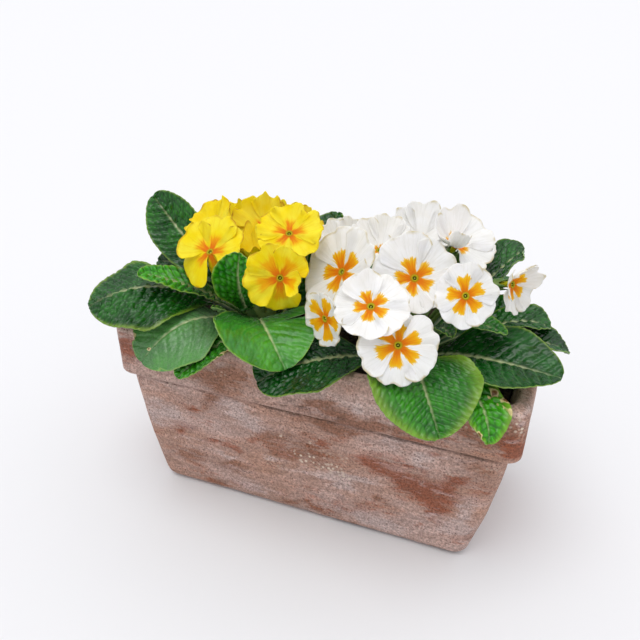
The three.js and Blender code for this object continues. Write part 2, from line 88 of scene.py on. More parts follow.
def ripples(points, size, seed, octaves=3):
    """About -1 to 1: four sine waves in random directions for each octave, size long at first
    and half as long and half as high with every further octave."""
    rng = np.random.default_rng(seed)
    total = np.zeros(points.shape[:-1])
    for octave in range(octaves):
        for _ in range(4):
            way = unit(rng.normal(size=points.shape[-1])) * 2 * np.pi * 2**octave / size
            total += np.sin(points @ way + rng.uniform(0, 2 * np.pi)) / 2**octave
    return total / 3


def net_distance(u, v, seed):
    """How far a place is from the lines of a net with cells about one unit wide. Every unit
    square holds one seed, jittered by the digits far down in a sine, and a line runs where the
    two nearest seeds are equally far."""
    square_u, square_v = np.floor(u), np.floor(v)
    nearest = second = np.full(u.shape, np.inf)
    for step_u in (-1, 0, 1):
        for step_v in (-1, 0, 1):
            i, j = square_u + step_u, square_v + step_v
            at_u, at_v = ((1 - JITTER) / 2 + JITTER * ((np.sin(i * a + j * b + seed) * c) % 1)
                          for a, b, c in (HASH_U, HASH_V))
            gap = np.hypot(i + at_u - u, j + at_v - v)
            second = np.minimum(second, np.maximum(nearest, gap))
            nearest = np.minimum(nearest, gap)
    return (second - nearest) / 2


print("a net cell reaches", round(float(net_distance(*np.mgrid[0:9:90j, 0:9:90j], 1).max()), 2))

# %% [markdown]
# ## From arrays to meshes
#
# Two kinds of closed body are enough for everything here. One is a stack of rings with a fan over
# each end, for the trough, the soil, stalks and cups. The other is a thin blade between two
# grids of points, for leaves and petals. Marks are numbers kept at each point, such as how near
# it is to a vein, which the materials read later.

# %% Closed bodies


def grid_faces(rows, columns, wrap=False):
    """The four corners of each field of a grid of points that is numbered row by row."""
    i = np.arange(rows - 1)[:, None]
    j = np.arange(columns if wrap else columns - 1)[None, :]
    k = (j + 1) % columns
    corners = [i * columns + j, i * columns + k, (i + 1) * columns + k, (i + 1) * columns + j]
    return np.stack(corners, axis=-1).reshape(-1, 4)


def ring_body(rings, marks=None):
    """A closed skin over a stack of rings: fields between the rings, and a fan of triangles
    from the middle of the first and of the last ring to its edge."""
    count, sides = rings.shape[:2]
    ring = np.arange(sides)
    after = np.roll(ring, -1)
    last = (count - 1) * sides
    near, far = np.full(sides, count * sides), np.full(sides, count * sides + 1)
    fans = [np.stack([near, after, ring], 1), np.stack([far, ring + last, after + last], 1)]
    points = np.concatenate([rings.reshape(-1, 3), rings[[0, -1]].mean(axis=1)])
    kept = {}
    for name, values in (marks or {}).items():
        values = np.broadcast_to(values, rings.shape[:2])
        kept[name] = np.concatenate([values.ravel(), values[[0, -1]].mean(axis=1)])
    return {"points": points, "fields": grid_faces(count, sides, True),
            "triangles": np.concatenate(fans), "marks": kept}


def blade(over, under, marks):
    """A thin closed body: one grid of points above, one below, and a strip of fields round
    their common edge. Every mark has a value for each point of the grid, used on both sides,
    and the mark called back is 0 above and 1 below."""
    rows, columns = over.shape[:2]
    size = rows * columns
    number = np.arange(size).reshape(rows, columns)
    rim = np.concatenate([number[0, :-1], number[:-1, -1], number[-1, :0:-1], number[:0:-1, 0]])
    after = np.roll(rim, -1)
    top = grid_faces(rows, columns)
    edge = np.stack([after, rim, rim + size, after + size], axis=1)
    kept = {name: np.tile(np.broadcast_to(values, (rows, columns)).ravel(), 2)
            for name, values in marks.items()}
    kept["back"] = np.repeat([0.0, 1.0], size)
    return {"points": np.concatenate([over.reshape(-1, 3), under.reshape(-1, 3)]),
            "fields": np.concatenate([top, top[:, ::-1] + size, edge]),
            "triangles": np.zeros((0, 3), int), "marks": kept}


def outward(body):
    """Turns the faces of a body round if its volume comes out below zero."""
    p, f, t = body["points"], body["fields"], body["triangles"]
    fans = np.concatenate([f[:, [0, 1, 2]], f[:, [0, 2, 3]], t])
    a, b, c = (p[fans[:, k]] for k in range(3))
    if (a * np.cross(b, c)).sum() < 0:
        body["fields"], body["triangles"] = f[:, ::-1], t[:, ::-1]
    return body


def joined(bodies):
    """Several closed bodies as one, with a missing mark counted as 0."""
    names = sorted({name for body in bodies for name in body["marks"]})
    counts = [len(body["points"]) for body in bodies]
    starts = np.cumsum([0, *counts[:-1]])
    whole = {key: np.concatenate([body[key] + start for body, start in zip(bodies, starts)])
             for key in ("fields", "triangles")}
    marks = {name: np.concatenate([body["marks"].get(name, np.zeros(count))
                                   for body, count in zip(bodies, counts)]) for name in names}
    return {"points": np.concatenate([body["points"] for body in bodies]), "marks": marks, **whole}


# %% A mesh object from a body


def piece(name, body, material):
    """A smooth-shaded object at the origin, with the body's points in metres."""
    mesh = bpy.data.meshes.new(name)
    corners = np.concatenate([body["fields"].ravel(), body["triangles"].ravel()])
    sizes = np.repeat([4, 3], [len(body["fields"]), len(body["triangles"])])
    mesh.vertices.add(len(body["points"]))
    mesh.vertices.foreach_set("co", (body["points"] * MM).ravel())
    mesh.loops.add(len(corners))
    mesh.loops.foreach_set("vertex_index", corners)
    mesh.polygons.add(len(sizes))
    mesh.polygons.foreach_set("loop_start", np.concatenate([[0], np.cumsum(sizes)[:-1]]))
    mesh.update(calc_edges=True)
    mesh.validate()
    mesh.shade_smooth()
    for mark, values in body["marks"].items():
        layer = mesh.attributes.new(mark, "FLOAT", "POINT")
        layer.data.foreach_set("value", values.astype(np.float32))
    mesh.materials.append(material)
    made = bpy.data.objects.new(name, mesh)
    bpy.context.scene.collection.objects.link(made)
    return made


def stand_for(made, node_name):
    """The piece rides on the one body and shows in place of its solid."""
    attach(made, "root")
    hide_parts(node_name)


# %% [markdown]
# ## Colours and shader nodes
#
# Colours are written as they look on a screen, in hex, and one function makes them linear. One
# small function adds a node with its settings and its links. Most finishes are a stack of thin
# layers, such as frost over clay, so another function lays colours over each other.

# %% Helpers for materials


def linear(hex_colour):
    """sRGB to linear: a channel c above 0.04045 gives ((c + 0.055) / 1.055) to the power 2.4,
    and c / 12.92 below that."""
    c = np.array([int(hex_colour[i:i + 2], 16) for i in (1, 3, 5)]) / 255
    lit = np.where(c > 0.04045, ((c + 0.055) / 1.055) ** 2.4, c / 12.92)
    return (*lit.tolist(), 1.0)


def node(tree, kind, inputs, **settings):
    """Adds one shader node. settings are its own properties. inputs gives, for the name or the
    number of a socket, a plain value, a hex colour or the output of another node to link."""
    made = tree.nodes.new("ShaderNode" + kind)
    for name, value in settings.items():
        setattr(made, name, value)
    for socket, value in inputs.items():
        if isinstance(value, bpy.types.NodeSocket):
            tree.links.new(value, made.inputs[socket])
        else:
            plain = linear(value) if isinstance(value, str) else value
            made.inputs[socket].default_value = plain
    return made


def lay_over(tree, tone, layers):
    """Lays the colours of some layers over a first tone, one after the other. A layer's share
    grows straight from 0 where its value is at low to most where the value is at high."""
    for value, low, high, most, colour in layers:
        share = node(tree, "MapRange", {"Value": value, "From Min": low, "From Max": high,
                                        "To Max": most}).outputs[0]
        tone = node(tree, "Mix", {0: share, 6: tone, 7: colour}, data_type="RGBA").outputs[2]
    return tone


def start_material(name):
    """An empty material, its node tree, and the place on the object in metres."""
    material = bpy.data.materials.new(name)
    material.use_nodes = True
    tree = material.node_tree
    tree.nodes.clear()
    return material, tree, node(tree, "TexCoord", {}).outputs["Object"]


def end_material(tree, inputs):
    """The Principled shader with its inputs, linked to the material's output."""
    shader = node(tree, "BsdfPrincipled", inputs)
    node(tree, "OutputMaterial", {"Surface": shader.outputs[0]})
    print("nodes in this material:", len(tree.nodes))


# %% [markdown]
# ## Terracotta
#
# The trough is unglazed fired clay that was pressed in a mould. Years of rain have left a dusty
# grey-pink frost of salts on it, rust-red clay where the frost is rubbed off, brown smears of
# soil, dark grime, specks of white lime, and fine dark pits. The grime mark also holds painted
# shade under the band, on its lower edge and along the foot, and one soil smear on the band is
# partly a painted shadow of the leaves. It could be painted on an image, but layers of noise need
# no image and have a real size. The clouds and mottles are smeared along the wall, the strokes
# are drawn out to thin lines, and the grain is that of the sandy clay. Marks in the mesh say
# where each layer lies, and the mottles and strokes break up its edges.

# %% Weathered terracotta
SMEAR, DRAW = (0.45, 0.6, 1.3), (0.12, 0.3, 1)
PIT_SIZE, SPECK_SIZE = 2.174, 3.333
CLAY, PALE_CLAY = "#b28a77", "#c7aba2"
terracotta, tree, place = start_material("weathered terracotta")
smeared, drawn = (node(tree, "Mapping", {"Vector": place, "Scale": stretch}).outputs[0]
                  for stretch in (SMEAR, DRAW))
# Each noise has its place, the width of its cells in mm, detail, roughness and distortion.
clouds, mottles, strokes, grain = (
    node(tree, "TexNoise", {"Vector": where, "Scale": 1 / (size * MM), "Detail": detail,
                            "Roughness": rough, "Distortion": twist}).outputs[0]
    for where, size, detail, rough, twist in (
        (smeared, 45.45, 6, 0.6, 0), (smeared, 6.667, 6, 0.72, 0.4),
        (drawn, 3.125, 3, 0.5, 0), (place, 1.5625, 3, 0.75, 0)))
specks, pits = (node(tree, "TexVoronoi", {"Vector": place, "Scale": 1 / (size * MM)}).outputs[0]
                for size in (SPECK_SIZE, PIT_SIZE))
mark = {name: node(tree, "Attribute", {}, attribute_name=name).outputs["Fac"]
        for name in ("salt", "rust", "soil", "grime_and_shade", "lime")}
tone = lay_over(tree, CLAY, [(clouds, 0.36, 0.64, 1, PALE_CLAY)])
# Soil is partly a painted leaf shadow on the band, and grime is partly painted shade.
for name, most, colour in (("soil", 0.8, "#8c5d45"), ("rust", 0.85, "#8c4a2e"),
                           ("salt", 0.6, "#c3b2af"), ("grime_and_shade", 0.75, "#4a372d")):
    broken = node(tree, "Math", {0: mottles, 1: 2.4, 2: mark[name]}, operation="MULTIPLY_ADD")
    broken = node(tree, "Math", {0: strokes, 1: 0.8, 2: broken.outputs[0]},
                  operation="MULTIPLY_ADD").outputs[0]
    tone = lay_over(tree, tone, [(broken, 1.9, 2.45, most, colour)])
for texture, least, most in ((mottles, 0.76, 1.2), (strokes, 0.88, 1.1), (grain, 0.56, 1.34)):
    factor = node(tree, "MapRange", {"Value": texture, "From Min": 0.34, "From Max": 0.66,
                                     "To Min": least, "To Max": most}).outputs[0]
    tone = node(tree, "Mix", {0: 1.0, 6: tone, 7: factor}, data_type="RGBA",
                blend_type="MULTIPLY").outputs[2]
worn, hollow, limy = (
    node(tree, "MapRange", {"Value": value, "From Min": low, "From Max": high,
                            "To Max": most}).outputs[0]
    for value, low, high, most in ((mottles, 0.4, 0.58, 0.75), (pits, 0.3, 0.14, 1),
                                   (specks, 0.4, 0.26, 1.6)))
pitted, limed = (node(tree, "Math", {0: one, 1: other}, operation="MULTIPLY").outputs[0]
                 for one, other in ((hollow, worn), (limy, mark["lime"])))
tone = lay_over(tree, tone, [(pitted, 0, 1, 1, "#452a20"), (limed, 0, 1, 1, "#dccbb8")])
rough = node(tree, "Math", {0: grain, 1: pitted}, operation="SUBTRACT").outputs[0]
rough = node(tree, "Math", {0: mottles, 1: rough}, operation="ADD").outputs[0]
bump = node(tree, "Bump", {"Height": rough, "Strength": 0.6, "Distance": 0.8 * MM}).outputs[0]
end_material(tree, {"Base Color": tone, "Normal": bump, "Roughness": 0.92, "IOR": 1.45})

# %% [markdown]
# ## The trough
#
# The trough is one thick wall: a foot with a rounded edge, walls that widen upwards, a band that
# stands out round the mouth, a rounded lip, and the inside down to its floor. A profile could be
# swept round with a curve modifier, but the long and the short walls lean by different amounts,
# so each level gets its own rounded rectangle. The clay was pressed by hand, so the walls wander
# by a few tenths of a millimetre. Two drills cut the drain holes.

# %% Sizes of the trough
RIM_LENGTH, RIM_WIDTH, HEIGHT = 300, 130, 140
BAND_HEIGHT, BAND_STEP_SIDE, BAND_STEP_END, BAND_FLARE = 42, 5, 8, 0.5
FOOT_LENGTH, FOOT_WIDTH, END_BOW = 244, 116, 1.4
CORNER, FOOT_ROUND, BAND_ROUND, LIP_ROUND = 9, 8, 5, 4
WALL, FLOOR = 10, 12
DRAIN_RADIUS, DRAIN_X = 7, 88
BAND_BOTTOM = HEIGHT - BAND_HEIGHT
DENTS = ((70, 0.3, 3), (14, 0.1, 5))  # the walls' unevenness: length, depth and seed


def body_halves(height):
    """Half the length and half the width of the outer wall below the band: straight lines from
    the band to the foot, with the length's line bowed by a power of the way down."""
    drop = (BAND_BOTTOM - height) / BAND_BOTTOM
    length, width = RIM_LENGTH / 2 - BAND_STEP_END, RIM_WIDTH / 2 - BAND_STEP_SIDE
    return (length + (FOOT_LENGTH / 2 - length) * drop**END_BOW,
            width + (FOOT_WIDTH / 2 - width) * drop)


def cavity_halves(height):
    """The same inside: straight lines from the floor to the mouth, one wall further in."""
    rise = (height - FLOOR) / (HEIGHT - FLOOR)
    foot = np.array([FOOT_LENGTH / 2 - WALL - 1, FOOT_WIDTH / 2 - WALL - 1])
    mouth = np.array([RIM_LENGTH / 2 - WALL, RIM_WIDTH / 2 - WALL])
    return tuple(foot + (mouth - foot) * rise)


def quarter_round(radius, steps):
    """Pairs of inset and rise along a quarter of a circle, from the flat round to the wall."""
    angle = np.linspace(0, np.pi / 2, steps + 1)
    return np.stack([radius * (1 - np.sin(angle)), radius * (1 - np.cos(angle))], axis=1)


def rounded_rings(levels, corner=CORNER, corner_steps=8, long_steps=110, short_steps=48):
    """One rounded rectangle for each (half length, half width, height). The way round is
    fixed: a place is a corner's centre, from -1 to 1 of each half, plus the corner's radius
    in one direction, and both are listed once for all levels."""
    way = []
    signs = [(1, 1), (-1, 1), (-1, -1), (1, -1)]
    for quarter in range(4):
        here, there = np.array(signs[quarter]), np.array(signs[(quarter + 1) % 4])
        bends = np.linspace(quarter, quarter + 1, corner_steps + 1) * np.pi / 2
        way += [(*here, np.cos(bend), np.sin(bend)) for bend in bends]
        steps = short_steps if quarter % 2 else long_steps
        shares = np.linspace(0, 1, steps + 1)[1:-1]
        way += [(*(here + (there - here) * share), np.cos(bends[-1]), np.sin(bends[-1]))
                for share in shares]
    x, y, out_x, out_y = np.array(way).T
    half_length, half_width, height = np.array(levels).T[:, :, None]
    return np.stack([x * (half_length - corner) + corner * out_x,
                     y * (half_width - corner) + corner * out_y,
                     np.broadcast_to(height, (len(levels), len(x)))], axis=-1)


# %% The trough's levels, from the foot up, over the lip and down inside
levels = []
for inset, rise in quarter_round(FOOT_ROUND, 8):
    length, width = body_halves(rise)
    levels.append((length - inset, width - inset, rise))
for height in np.linspace(FOOT_ROUND, BAND_BOTTOM, 40)[1:]:
    levels.append((*body_halves(height), height))
for inset, rise in quarter_round(BAND_ROUND, 6):
    out = inset + BAND_FLARE
    levels.append((RIM_LENGTH / 2 - out, RIM_WIDTH / 2 - out, BAND_BOTTOM + rise))
for share in np.linspace(0, 1, 9)[1:-1]:
    out = BAND_FLARE * (1 - share)
    height = BAND_BOTTOM + BAND_ROUND + share * (BAND_HEIGHT - BAND_ROUND - LIP_ROUND)
    levels.append((RIM_LENGTH / 2 - out, RIM_WIDTH / 2 - out, height))
for inset, rise in quarter_round(LIP_ROUND, 6)[::-1]:
    levels.append((RIM_LENGTH / 2 - inset, RIM_WIDTH / 2 - inset, HEIGHT - rise))
for inset, rise in quarter_round(LIP_ROUND - 1, 5):
    length, width = cavity_halves(HEIGHT - rise)
    levels.append((length + inset, width + inset, HEIGHT - rise))
for height in np.linspace(HEIGHT - LIP_ROUND, FLOOR, 12)[1:]:
    levels.append((*cavity_halves(height), height))

rings = rounded_rings(levels)
pressed = sum(depth * ripples(rings, size, seed)[..., None] for size, depth, seed in DENTS)
rings += pressed * unit(rings * [1 / RIM_LENGTH, 1 / RIM_WIDTH, 0])
trough = piece("trough_fired", outward(ring_body(rings)), terracotta)
print("trough levels:", len(levels), "faces:", len(trough.data.polygons))

# %% Drain holes
for side in (-1, 1):
    rings = np.stack([round_points(DRAIN_RADIUS, turns(32), z) for z in (-5, FLOOR + 5)])
    rings += [side * DRAIN_X, 0, 0]
    drill = piece("drill", outward(ring_body(rings)), terracotta)
    cut = trough.modifiers.new("drain", "BOOLEAN")
    cut.object, cut.operation, cut.solver = drill, "DIFFERENCE", "EXACT"
    seen = trough.evaluated_get(bpy.context.evaluated_depsgraph_get())
    drilled = bpy.data.meshes.new_from_object(seen)
    trough.modifiers.clear()
    trough.data = drilled
    bpy.data.objects.remove(drill)
stand_for(trough, "trough")
print("trough with drains:", len(trough.data.polygons))

# %% [markdown]
# ## Where the clay is weathered
#
# Soil, rust, salt, grime and lime lie in slow, drawn out patches all round. On the front they lie
# as on the real trough, so each patch there has its middle along the wall and above the floor, and
# half its length and height. One soil patch on the band's right end is partly a painted shadow of
# the leaves, and the grime mark also carries painted shade on the band's lower edge, in the corner
# under the band and along the foot.

# %% Patches of soil, rust, salt, grime and lime, and painted shade
PATCHES = {
    "soil": [(-30, 68, 14, 8), (-4, 74, 22, 7), (-14, 58, 16, 5), (10, 64, 14, 7),
             (-100, 30, 22, 9), (-60, 30, 14, 5), (0, 28, 18, 5), (60, 38, 14, 5),
             (124, 90, 12, 7), (20, 92, 24, 5), (-76, 91, 12, 5), (-80, 11, 26, 6),
             (20, 108, 30, 7), (-72, 112, 22, 10), (70, 104, 40, 6), (0, 10, 22, 4),
             # The soil patch at 126 along and 118 up, on the band's right end, is partly a painted
             # shadow of the leaves above.
             (-50, 126, 12, 8), (126, 118, 16, 9), (140, 128, 6, 8)],
    "rust": [(54, 67, 12, 7), (72, 62, 14, 9), (86, 53, 17, 9), (105, 60, 12, 9), (98, 44, 13, 7),
             (93, 91, 9, 3), (113, 74, 9, 5), (79, 75, 11, 3), (-90, 75, 5, 3), (-70, 52, 15, 3),
             (-57, 47, 10, 2), (-103, 56, 9, 7), (143, 113, 7, 11), (-138, 120, 8, 12)],
    "salt": [(-55, 84, 10, 9), (-41, 75, 6, 6), (-112, 70, 12, 7), (62, 93, 12, 3), (86, 83, 7, 4),
             (121, 43, 7, 14), (112, 29, 12, 7), (46, 50, 10, 4), (28, 46, 12, 5), (-25, 47, 12, 4),
             (60, 13, 26, 4), (27, 16, 16, 4), (-60, 39, 14, 2.5), (-125, 62, 7, 10),
             (148, 136, 3, 4), (40, 116, 8, 5), (98, 71, 6, 2), (95, 34, 8, 3)],
    # The grime patch at 20 along and 102 up, on the band's rounded lower edge, is painted shade.
    "grime_and_shade": [(57, 23, 3, 1), (-118, 14, 8, 7), (20, 102, 40, 2)],
    "lime": [(-17, 70, 4, 3), (6, 73, 6, 3), (0, 58, 12, 7), (22, 54, 15, 8), (36, 47, 13, 6),
             (145, 131, 6, 8)],
}
WARP, WARP_SIZE = 4, 15  # how far and how finely a patch's edge wanders
PATCH_SIZE = 34  # the patches that lie all round are about this large
COMMON, RARE = 0.12, -0.2  # soil, rust and salt show in more places than grime and lime


def weathering(points, name, seed):
    """0 to 1 at each point: ripples that are twice as long as high, plus a soft round hill for
    each patch on the front wall. The hills' places are warped by finer ripples first."""
    drawn = points * [0.5, 0.5, 1.0]
    warp = np.stack([ripples(drawn, WARP_SIZE, seed + n) for n in (7, 8, 9)], axis=-1)
    x, y, z = (points + WARP * warp).T
    front = smooth(-points[:, 1], 45, 55)
    value = (0.5 - 0.2 * front) * ripples(drawn, PATCH_SIZE, seed)
    value = value + (COMMON if name in ("soil", "rust", "salt") else RARE)
    for middle, height, long, high in PATCHES[name]:
        hill = np.exp(-(((x - middle) / long) ** 2) - ((z - height) / high) ** 2)
        value = value + 0.8 * hill * front
    # Painted shade: the grime mark darkens the corner under the band and a line along the foot.
    if name == "grime_and_shade":
        z = points[:, 2]
        shade_under_band = bell(z - BAND_BOTTOM + 1, 2.5) * (z < BAND_BOTTOM + 1)
        value = value + 1.1 * shade_under_band + 0.9 * bell(z, 3)
    return np.clip(value, 0, 1)


spots = np.array([v.co[:] for v in trough.data.vertices]) / MM
for number, name in enumerate(PATCHES):
    laid = weathering(spots, name, 20 + number)
    layer = trough.data.attributes.new(name, "FLOAT", "POINT")
    layer.data.foreach_set("value", laid.astype(np.float32))
    print(name, "on average:", round(float(laid.mean()), 2))

# %% [markdown]
# ## The soil
#
# Potting soil is dark, moist and crumbly. It could be scattered from loose crumbs, but little
# of it shows, so one surface with clods of 4 mm and grains of 2 mm is enough. The clods are the
# cells of a net: low at the net's lines and high inside them.

# %% Moist potting soil
FIBRE_SIZE = 3.846
soil_finish, tree, place = start_material("moist potting soil")
fibres = node(tree, "TexNoise", {"Vector": place, "Scale": 1 / (FIBRE_SIZE * MM),
                                 "Detail": 6}).outputs[0]
tone = lay_over(tree, "#1d130d", [(fibres, 0.42, 0.66, 1, "#4a3627")])
bump = node(tree, "Bump", {"Height": fibres, "Strength": 0.8, "Distance": MM}).outputs[0]
end_material(tree, {"Base Color": tone, "Normal": bump, "Roughness": 0.95})

# %% The soil's surface
SOIL_TOP, SOIL_MOUND, CLEARANCE = 120, 2.5, 0.35
CLOD, CLOD_HEIGHT, GRAIN, GRAIN_HEIGHT = 4.2, 1.6, 1.9, 0.6
WAVE, WAVE_HEIGHT = 30, 0.8


def soil_height(points):
    """A low mound, plus waves of about a millimetre, plus clods and grains that rise away from
    the lines of two nets."""
    x, y = points[..., 0], points[..., 1]
    mound = SOIL_MOUND * (1 - (2 * x / RIM_LENGTH) ** 2)
    clods = smooth(net_distance(x / CLOD, y / CLOD, 2), 0, 0.35)
    grains = smooth(net_distance(x / GRAIN, y / GRAIN, 8), 0, 0.3)
    waves = WAVE_HEIGHT * ripples(points[..., :2], WAVE, 9)
    return SOIL_TOP - 1 + mound + waves + CLOD_HEIGHT * clods + GRAIN_HEIGHT * grains


sides = [(*np.subtract(cavity_halves(height), CLEARANCE), height)
         for height in (FLOOR + CLEARANCE, 40, 70, 100, SOIL_TOP - 4)]
walls = rounded_rings(sides, long_steps=150, short_steps=64)
shares = np.linspace(0.995, 0.02, 60)[:, None, None]
top = walls[-1] * shares * [1, 1, 0]
top[..., 2] = soil_height(top)
soil = piece("soil_crumbled", outward(ring_body(np.concatenate([walls, top]))), soil_finish)
stand_for(soil, "soil")
print("soil faces:", len(soil.data.polygons))

# %% [markdown]
# ## Leaf tissue
#
# A primrose leaf is puckered: the fine veins are sunk and the tissue between them bulges, so the
# sheen of the sky breaks up into small patches. Old leaves are a deep green and young ones are
# bright. Over that lie painted shade in the sunk net of veins, paler side veins, a yellow-green
# margin, a cream midrib, dead tissue that turns from cream to brown, and dust with a painted grey
# sheen. The underside is pale. The mesh keeps a mark for each of these, so that the colour follows
# the same veins as the shape.

# %% Primrose leaf
MOTTLE_SIZE, FINE_SIZE = 18.18, 1.111
leaf_finish, tree, place = start_material("puckered primrose leaf")
mark = {name: node(tree, "Attribute", {}, attribute_name=name).outputs["Fac"]
        for name in ("rib", "vein", "pit", "margin", "blight", "young", "dust", "back")}
mottle = node(tree, "TexNoise", {"Vector": place, "Scale": 1 / (MOTTLE_SIZE * MM),
                                 "Detail": 3}).outputs[0]
fine = node(tree, "TexNoise", {"Vector": place, "Scale": 1 / (FINE_SIZE * MM)}).outputs[0]
fresh = lay_over(tree, "#20860c", [(mottle, 0.35, 0.65, 1, "#4aae12")])
# The pale grey dust layer is real dust and a painted grey sheen.
dusty_sheen = node(tree, "Math", {0: mark["dust"], 1: fine}, operation="MULTIPLY").outputs[0]
# The layer along the net's lines is painted shade where the net sinks.
tone = lay_over(tree, "#043709", [
    (mottle, 0.35, 0.65, 1, "#0d5910"), (mark["young"], 0, 1, 1, fresh),
    (mark["pit"], 0, 1, 0.5, "#07260f"), (mark["vein"], 0, 1, 0.3, "#5f9c4e"),
    (mark["margin"], 0, 1, 0.5, "#9ab83a"), (mark["rib"], 0, 1, 0.85, "#c5cf98"),
    (mark["blight"], 0.25, 0.45, 1, "#dcc98f"), (mark["blight"], 0.6, 0.85, 1, "#7a5230"),
    (dusty_sheen, 0, 1, 1, "#b9cdb0"), (mark["back"], 0, 1, 0.65, "#86a96e")])
bump = node(tree, "Bump", {"Height": fine, "Strength": 0.12, "Distance": 0.4 * MM}).outputs[0]
gloss = node(tree, "MapRange", {"Value": mottle, "To Min": 0.18, "To Max": 0.3}).outputs[0]
end_material(tree, {"Base Color": tone, "Normal": bump, "Roughness": gloss, "IOR": 1.46})

# %% [markdown]
# ## The shape of a leaf
#
# A leaf grows from the crown on a winged stalk, arches outwards and widens to a blade with a
# round end. Its rib is a curve with three points: the root at the crown, the point it bends
# towards, and the tip. The blade is a grid: one parameter runs along the rib, the other across
# it. Side veins leave the rib every 5 to 9 mm and curve forwards, and the net between them makes
# the puckers. It could be one plane with a bump map, but the puckers are deep enough to show in
# the outline of the highlights, so they are in the mesh.

# %% Sizes of crown and leaf
CROWN_RADIUS, CROWN_X = 12, 60
PETIOLE, SHEATH = 4, 0.75
LEAF_GRAIN = 0.7  # the grid's fields are about this wide
LEAF_SKIN = 0.28  # half the leaf's thickness
BLADE_START = 0.16  # where the stalk begins to widen
TEETH = ((1.6, 1), (0.61, 0.8))  # two sines along the margin: radians to a millimetre, height
TOOTH_SHARE = 0.005  # of the half width
RUFFLES = 3.1  # waves along the margin
SLANT, FORWARD = 0.5, 0.012  # side veins lean forwards, the more the further out
CELL_LONG, CELL_WIDE = 4.8, 4.2  # the net's cells
RIB_THIN, RIB_GROWTH, RIB_DEPTH = 0.5, 1, 0.75  # the rib's groove, thicker to the root
RIDGE_THIN, RIDGE_GROWTH = 0.4, 1.3  # how far the rib stands out below


def half_width(t, width):
    """Half a leaf's width at t, 0 at the root and 1 at the tip: the stalk's own half width,
    and from BLADE_START on a swelling, a sine of the way to the power 1.36, raised to a power
    that falls towards the tip so that the end is round."""
    along = np.clip((t - BLADE_START) / (1 - BLADE_START), 0, 1)
    swell = np.clip(np.sin(np.pi * along**1.36), 0, 1) ** (1 - along / 2)
    return PETIOLE * np.sqrt(1 - t**6) + (width / 2 - PETIOLE) * swell


def leaf_rib(leaf, crown_x):
    """A leaf's midrib as a curve with three points, and the leaf's own directions at each of
    its points: along the rib, sideways and out of its upper face. The rows crowd towards the
    tip. Sideways is level with the crown at the root, and turns to the blade's side and then
    rolls about the rib in the first two fifths."""
    turn = np.radians(leaf["angle"])
    outwards = np.array([np.cos(turn), np.sin(turn), 0])
    bend, tip = np.array(leaf["bend"], float), np.array(leaf["tip"], float)
    root = outwards * CROWN_RADIUS + [crown_x, 0, leaf["low"]]
    root += outwards * (CLEARANCE + SHEATH * unit(bend - root)[2])
    legs = [np.linalg.norm(leg) for leg in (bend - root, tip - bend, tip - root)]
    rows = int(sum(legs) / 2 / LEAF_GRAIN)
    s = np.linspace(0, 1, rows + 1)[:, None, None]
    t = (1 - (1 - s) ** 1.25) * 0.997
    rib = (1 - t) ** 2 * root + 2 * t * (1 - t) * bend + t * t * tip
    along = unit((1 - t) * (bend - root) + t * (tip - bend))
    heading = unit((tip - root) * [1, 1, 0])
    blade_side = np.array(leaf.get("side", np.cross(heading, UP)), float)
    root_side = np.array([np.sin(turn), -np.cos(turn), 0])
    turned = smooth(t, 0, 0.4)
    side = root_side + (blade_side - root_side) * turned
    side = unit(side - along * (side * along).sum(-1, keepdims=True))
    roll = np.radians(leaf["roll"]) * turned
    side = side * np.cos(roll) + np.cross(along, side) * np.sin(roll)
    return t, rib, side, np.cross(side, along)


def leaf_sheet(leaf, crown_x):
    """The plain curved blade: its points, their outward normals, and at each point t along the
    rib, v across from -1 to 1, and the ways along and across in millimetres. Towards its sides
    it rises by cup times v squared, fold times v and a wave along the margin. The margin has
    small teeth, two sines of the way along, and bites are bells taken out of one side."""
    t, rib, side, face = leaf_rib(leaf, crown_x)
    columns = 2 * int(leaf["width"] / LEAF_GRAIN / 2)
    v = np.linspace(-1, 1, columns + 1)[None, :, None]
    cup, fold = leaf["cup"], leaf["fold"]
    half = half_width(t, leaf["width"])
    reach = np.linalg.norm(np.diff(rib, axis=0, prepend=rib[:1]), axis=-1, keepdims=True)
    reach = np.cumsum(reach, axis=0)
    teeth = sum(high * np.sin(reach * pace + shift * v)
                for (pace, high), shift in zip(TEETH, (leaf["low"], 9)))
    half = half * (1 + TOOTH_SHARE * teeth * smooth(t, 0.2, 0.35))
    for bite_t, bite_side, depth, size in leaf["bites"]:
        half = half - depth * bell(t - bite_t, size) * (np.sign(v) == bite_side)
    ruffle = leaf["wave"] * v * v * np.sin(2 * RUFFLES * np.pi * t + np.sign(v) * 1.3)
    lift = half * (cup * v * v + fold * np.abs(v) + ruffle)
    spread = half * v * np.cos(np.arctan(fold + cup))
    points = rib + side * spread + face * lift
    normals = unit(np.cross(np.gradient(points, axis=1), np.gradient(points, axis=0)))
    measures = [np.broadcast_to(grid, half.shape)[..., 0] for grid in (t, v, reach, half * v)]
    return points, normals, *measures


# %% Puckers, veins and marks


